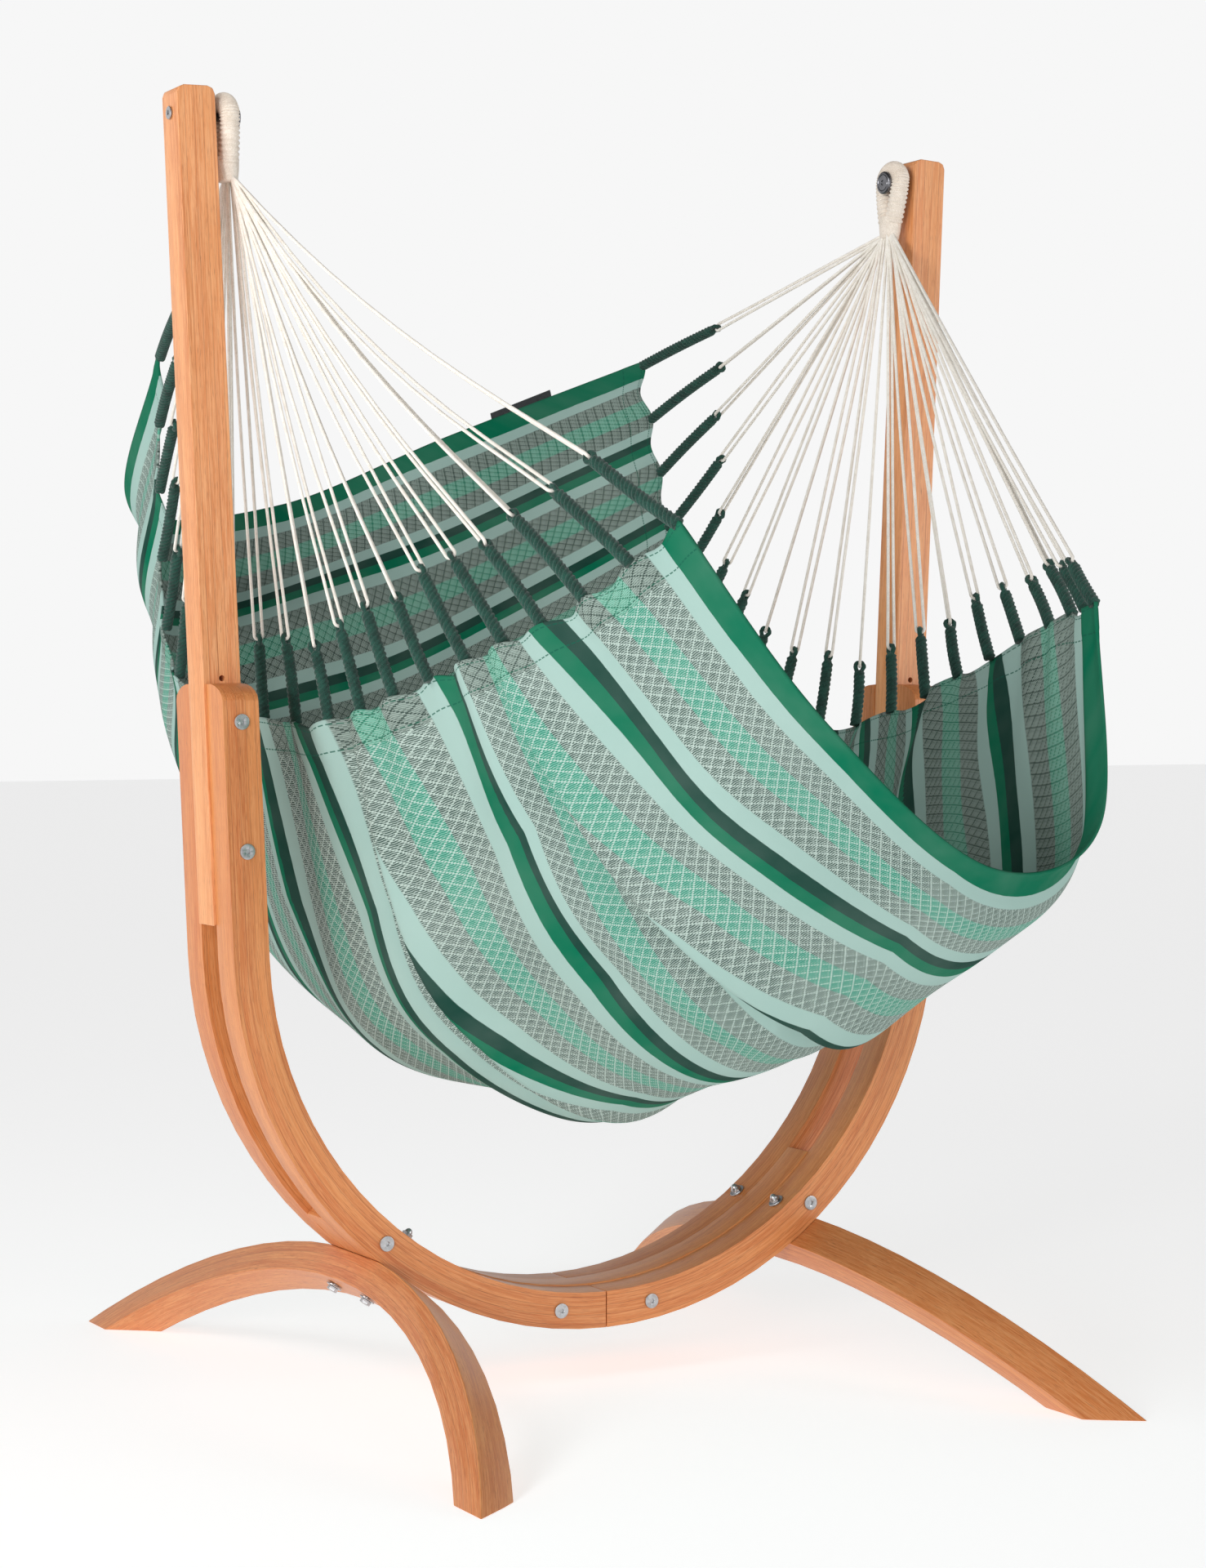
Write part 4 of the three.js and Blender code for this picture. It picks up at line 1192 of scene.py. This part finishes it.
def peg_rings():
    """The disc with its dished face, the peg, its collar and its thread."""
    r, back, collar = DISC_RADIUS, PEG_REACH, PEG_RADIUS + 0.003
    face = back + DISC_THICKNESS
    disc = [(TIP, face - 0.0012), (0.0035, face - 0.0012), (0.0042, face), (r - 0.0058, face)]
    disc += [(r - 0.0050, face - 0.0008), (r - 0.0042, face), (r - 0.0018, face - 0.0002)]
    disc += [(r - 0.0004, face - 0.0012), (r, face - 0.0022), (r, back + 0.0015)]
    disc += [(r - 0.0012, back + 0.0002)]
    peg = [(PEG_RADIUS + 0.0004, back), (PEG_RADIUS, back - 0.0005), (PEG_RADIUS, 0.0032)]
    peg += [(collar, 0.0025), (collar, 0.0005)]
    return disc + peg + [(ROD_RADIUS, 0.0005), (ROD_RADIUS, -0.038), (TIP, -0.038)]


def turned(name, rings, origin, direction, looks):
    verts, faces = lathe(rings, origin, direction)
    add_piece(name + "_turned", verts, faces, looks, "stand", "steel", [name], math.radians(35))


def make_cross_bolts(side, steel):
    places = {k: straight_point(side, v) for k, v in BOLT_STATIONS.items()}
    places.update({k: arc_point(side, v) for k, v in BOLT_ANGLES.items()})
    bolt = head_rings(HEAD_RADIUS, HEAD_THICKNESS, 0.0018, rod_rings(0.125))
    nut = head_rings(HEAD_RADIUS, HEAD_THICKNESS, 0.0018, barrel_rings(0.078, 0.012))
    out = np.array([0, BEAM_OUTER_Y + GAP, 0])
    for k, place in places.items():
        end = f"{side_name(side)}_{k}"
        turned(f"cross_bolt_{end}", bolt, place - out, (0, -1, 0), steel)
        turned(f"sleeve_nut_{end}", nut, place + out, (0, 1, 0), steel)


def make_leg_bolts(side, steel):
    out = radial(side, LEG_ANGLE)
    fall = LEG_RADIUS - math.sqrt(LEG_RADIUS**2 - LEG_BOLT_Y**2)
    under = BEAM_DEPTH / 2 - LEG_SEAT + LEG_DEPTH + fall + ARCH_CLEARANCE
    over = -BEAM_DEPTH / 2 - NUT_CLEARANCE - WASHER_THICKNESS
    seat = under + WASHER_THICKNESS + GAP
    reach = seat - (over - GAP) + 0.006
    for y, end in ((-LEG_BOLT_Y, "front"), (LEG_BOLT_Y, "back")):
        for name, rings, offset, way in (
            ("leg_washer_low", washer_rings(), under, out),
            ("leg_washer_high", washer_rings(), over, out),
            ("leg_bolt", leg_bolt_rings(reach), seat, out),
            ("leg_cap_nut", cap_nut_rings(), over - GAP, -out),
        ):
            place = arc_point(side, LEG_ANGLE, offset) + np.array([0, y, 0])
            turned(f"{name}_{side_name(side)}_{end}", rings, place, way, steel)


def make_hanger(side, steel, dark):
    outside = np.array([side * (upright_face_x(UPRIGHT_DEPTH / 2) + 0.001), 0, HANGER_Z])
    inside = np.array([side * (upright_face_x(-UPRIGHT_DEPTH / 2) - 0.001), 0, HANGER_Z])
    sleeve = head_rings(0.009, 0.0024, 0.0016, barrel_rings(0.045, 0.008))
    turned(f"hanger_sleeve_{side_name(side)}", sleeve, outside, (side, 0, 0), steel)
    turned(f"hanger_peg_{side_name(side)}", peg_rings(), inside, (-side, 0, 0), dark)


# ---- stage and light ----

FLOOR_GREY = (0.55, 0.55, 0.55, 1)
FLOOR_GLOW = 0.66
WHITE = (1, 1, 1, 1)
DOME = {"From Min": 0.22, "From Max": 0.60, "To Min": 0.93, "To Max": 0.12}
LAMP_TARGET = (0, 0, 0.8)
# Each lamp's name, place, size in metres and power in watts.
LAMPS = [
    ("left", (-3.6, -0.8, 3.0), 1.6, 46),
    ("key", (-4.6, -3.4, 1.2), 1.2, 95),
    ("side", (3.4, -3.6, 1.5), 1.6, 30),
]


def make_stage():
    bpy.ops.mesh.primitive_plane_add(size=60, location=(0, 0, -0.0005))
    floor = bpy.context.object
    floor.name = "floor"
    m = Looks("floor", 0.9)
    m.let("Base Color", FLOOR_GREY)
    m.let("Emission Color", WHITE)
    m.let("Emission Strength", FLOOR_GLOW)
    floor.data.materials.append(m.material)

    bpy.context.scene.view_settings.view_transform = "Standard"

    # A studio dome: bright low down all round, dim overhead.
    world = bpy.data.worlds.new("studio")
    bpy.context.scene.world = world
    world.use_nodes = True
    tree = world.node_tree
    place = tree.nodes.new("ShaderNodeTexCoord")
    split = tree.nodes.new("ShaderNodeSeparateXYZ")
    fade = tree.nodes.new("ShaderNodeMapRange")
    fade.interpolation_type = "SMOOTHSTEP"
    tree.links.new(place.outputs["Generated"], split.inputs[0])
    tree.links.new(split.outputs["Z"], fade.inputs["Value"])
    for key, value in DOME.items():
        fade.inputs[key].default_value = value
    tree.links.new(fade.outputs[0], tree.nodes["Background"].inputs[1])
    tree.nodes["Background"].inputs[0].default_value = WHITE

    for name, place, size, power in LAMPS:
        light = bpy.data.lights.new(name, "AREA")
        light.shape = "DISK"
        light.size = size
        light.energy = power
        holder = bpy.data.objects.new(name, light)
        holder.location = place
        aim = Vector(LAMP_TARGET) - Vector(place)
        holder.rotation_euler = aim.to_track_quat("-Z", "Y").to_euler()
        bpy.context.scene.collection.objects.link(holder)


def main():
    make_camera()
    cotton = yarn_looks("cotton_cord", rgb(252, 248, 240), rgb(226, 218, 206), 900.0)
    whipping = yarn_looks("whipped_cord", rgb(246, 236, 224), rgb(216, 202, 186), 700.0)
    rope = yarn_looks("green_rope", rgb(28, 84, 70), rgb(8, 36, 30), 800.0)
    make_cords(cotton)
    ropes = make_ropes(rope)
    for side in (-1, 1):
        make_loop(side, whipping)
    cloth = make_cloth(cloth_looks())
    make_label()
    bent = timber_looks("bent")
    timber = {
        "upright": timber_looks("straight"),
        "leg_arch": timber_looks("arch"),
        "curved_beam": bent,
        "centre_spacer": bent,
    }
    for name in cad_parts:
        for start, looks in timber.items():
            if name.startswith(start):
                make_timber(name, looks)
    steel = steel_looks("satin_steel", rgb(196, 196, 198), 0.3)
    dark = steel_looks("knob_steel", rgb(120, 120, 124), 0.22)
    for side in (-1, 1):
        make_cross_bolts(side, steel)
        make_leg_bolts(side, steel)
        make_hanger(side, steel, dark)
    make_stage()


main()
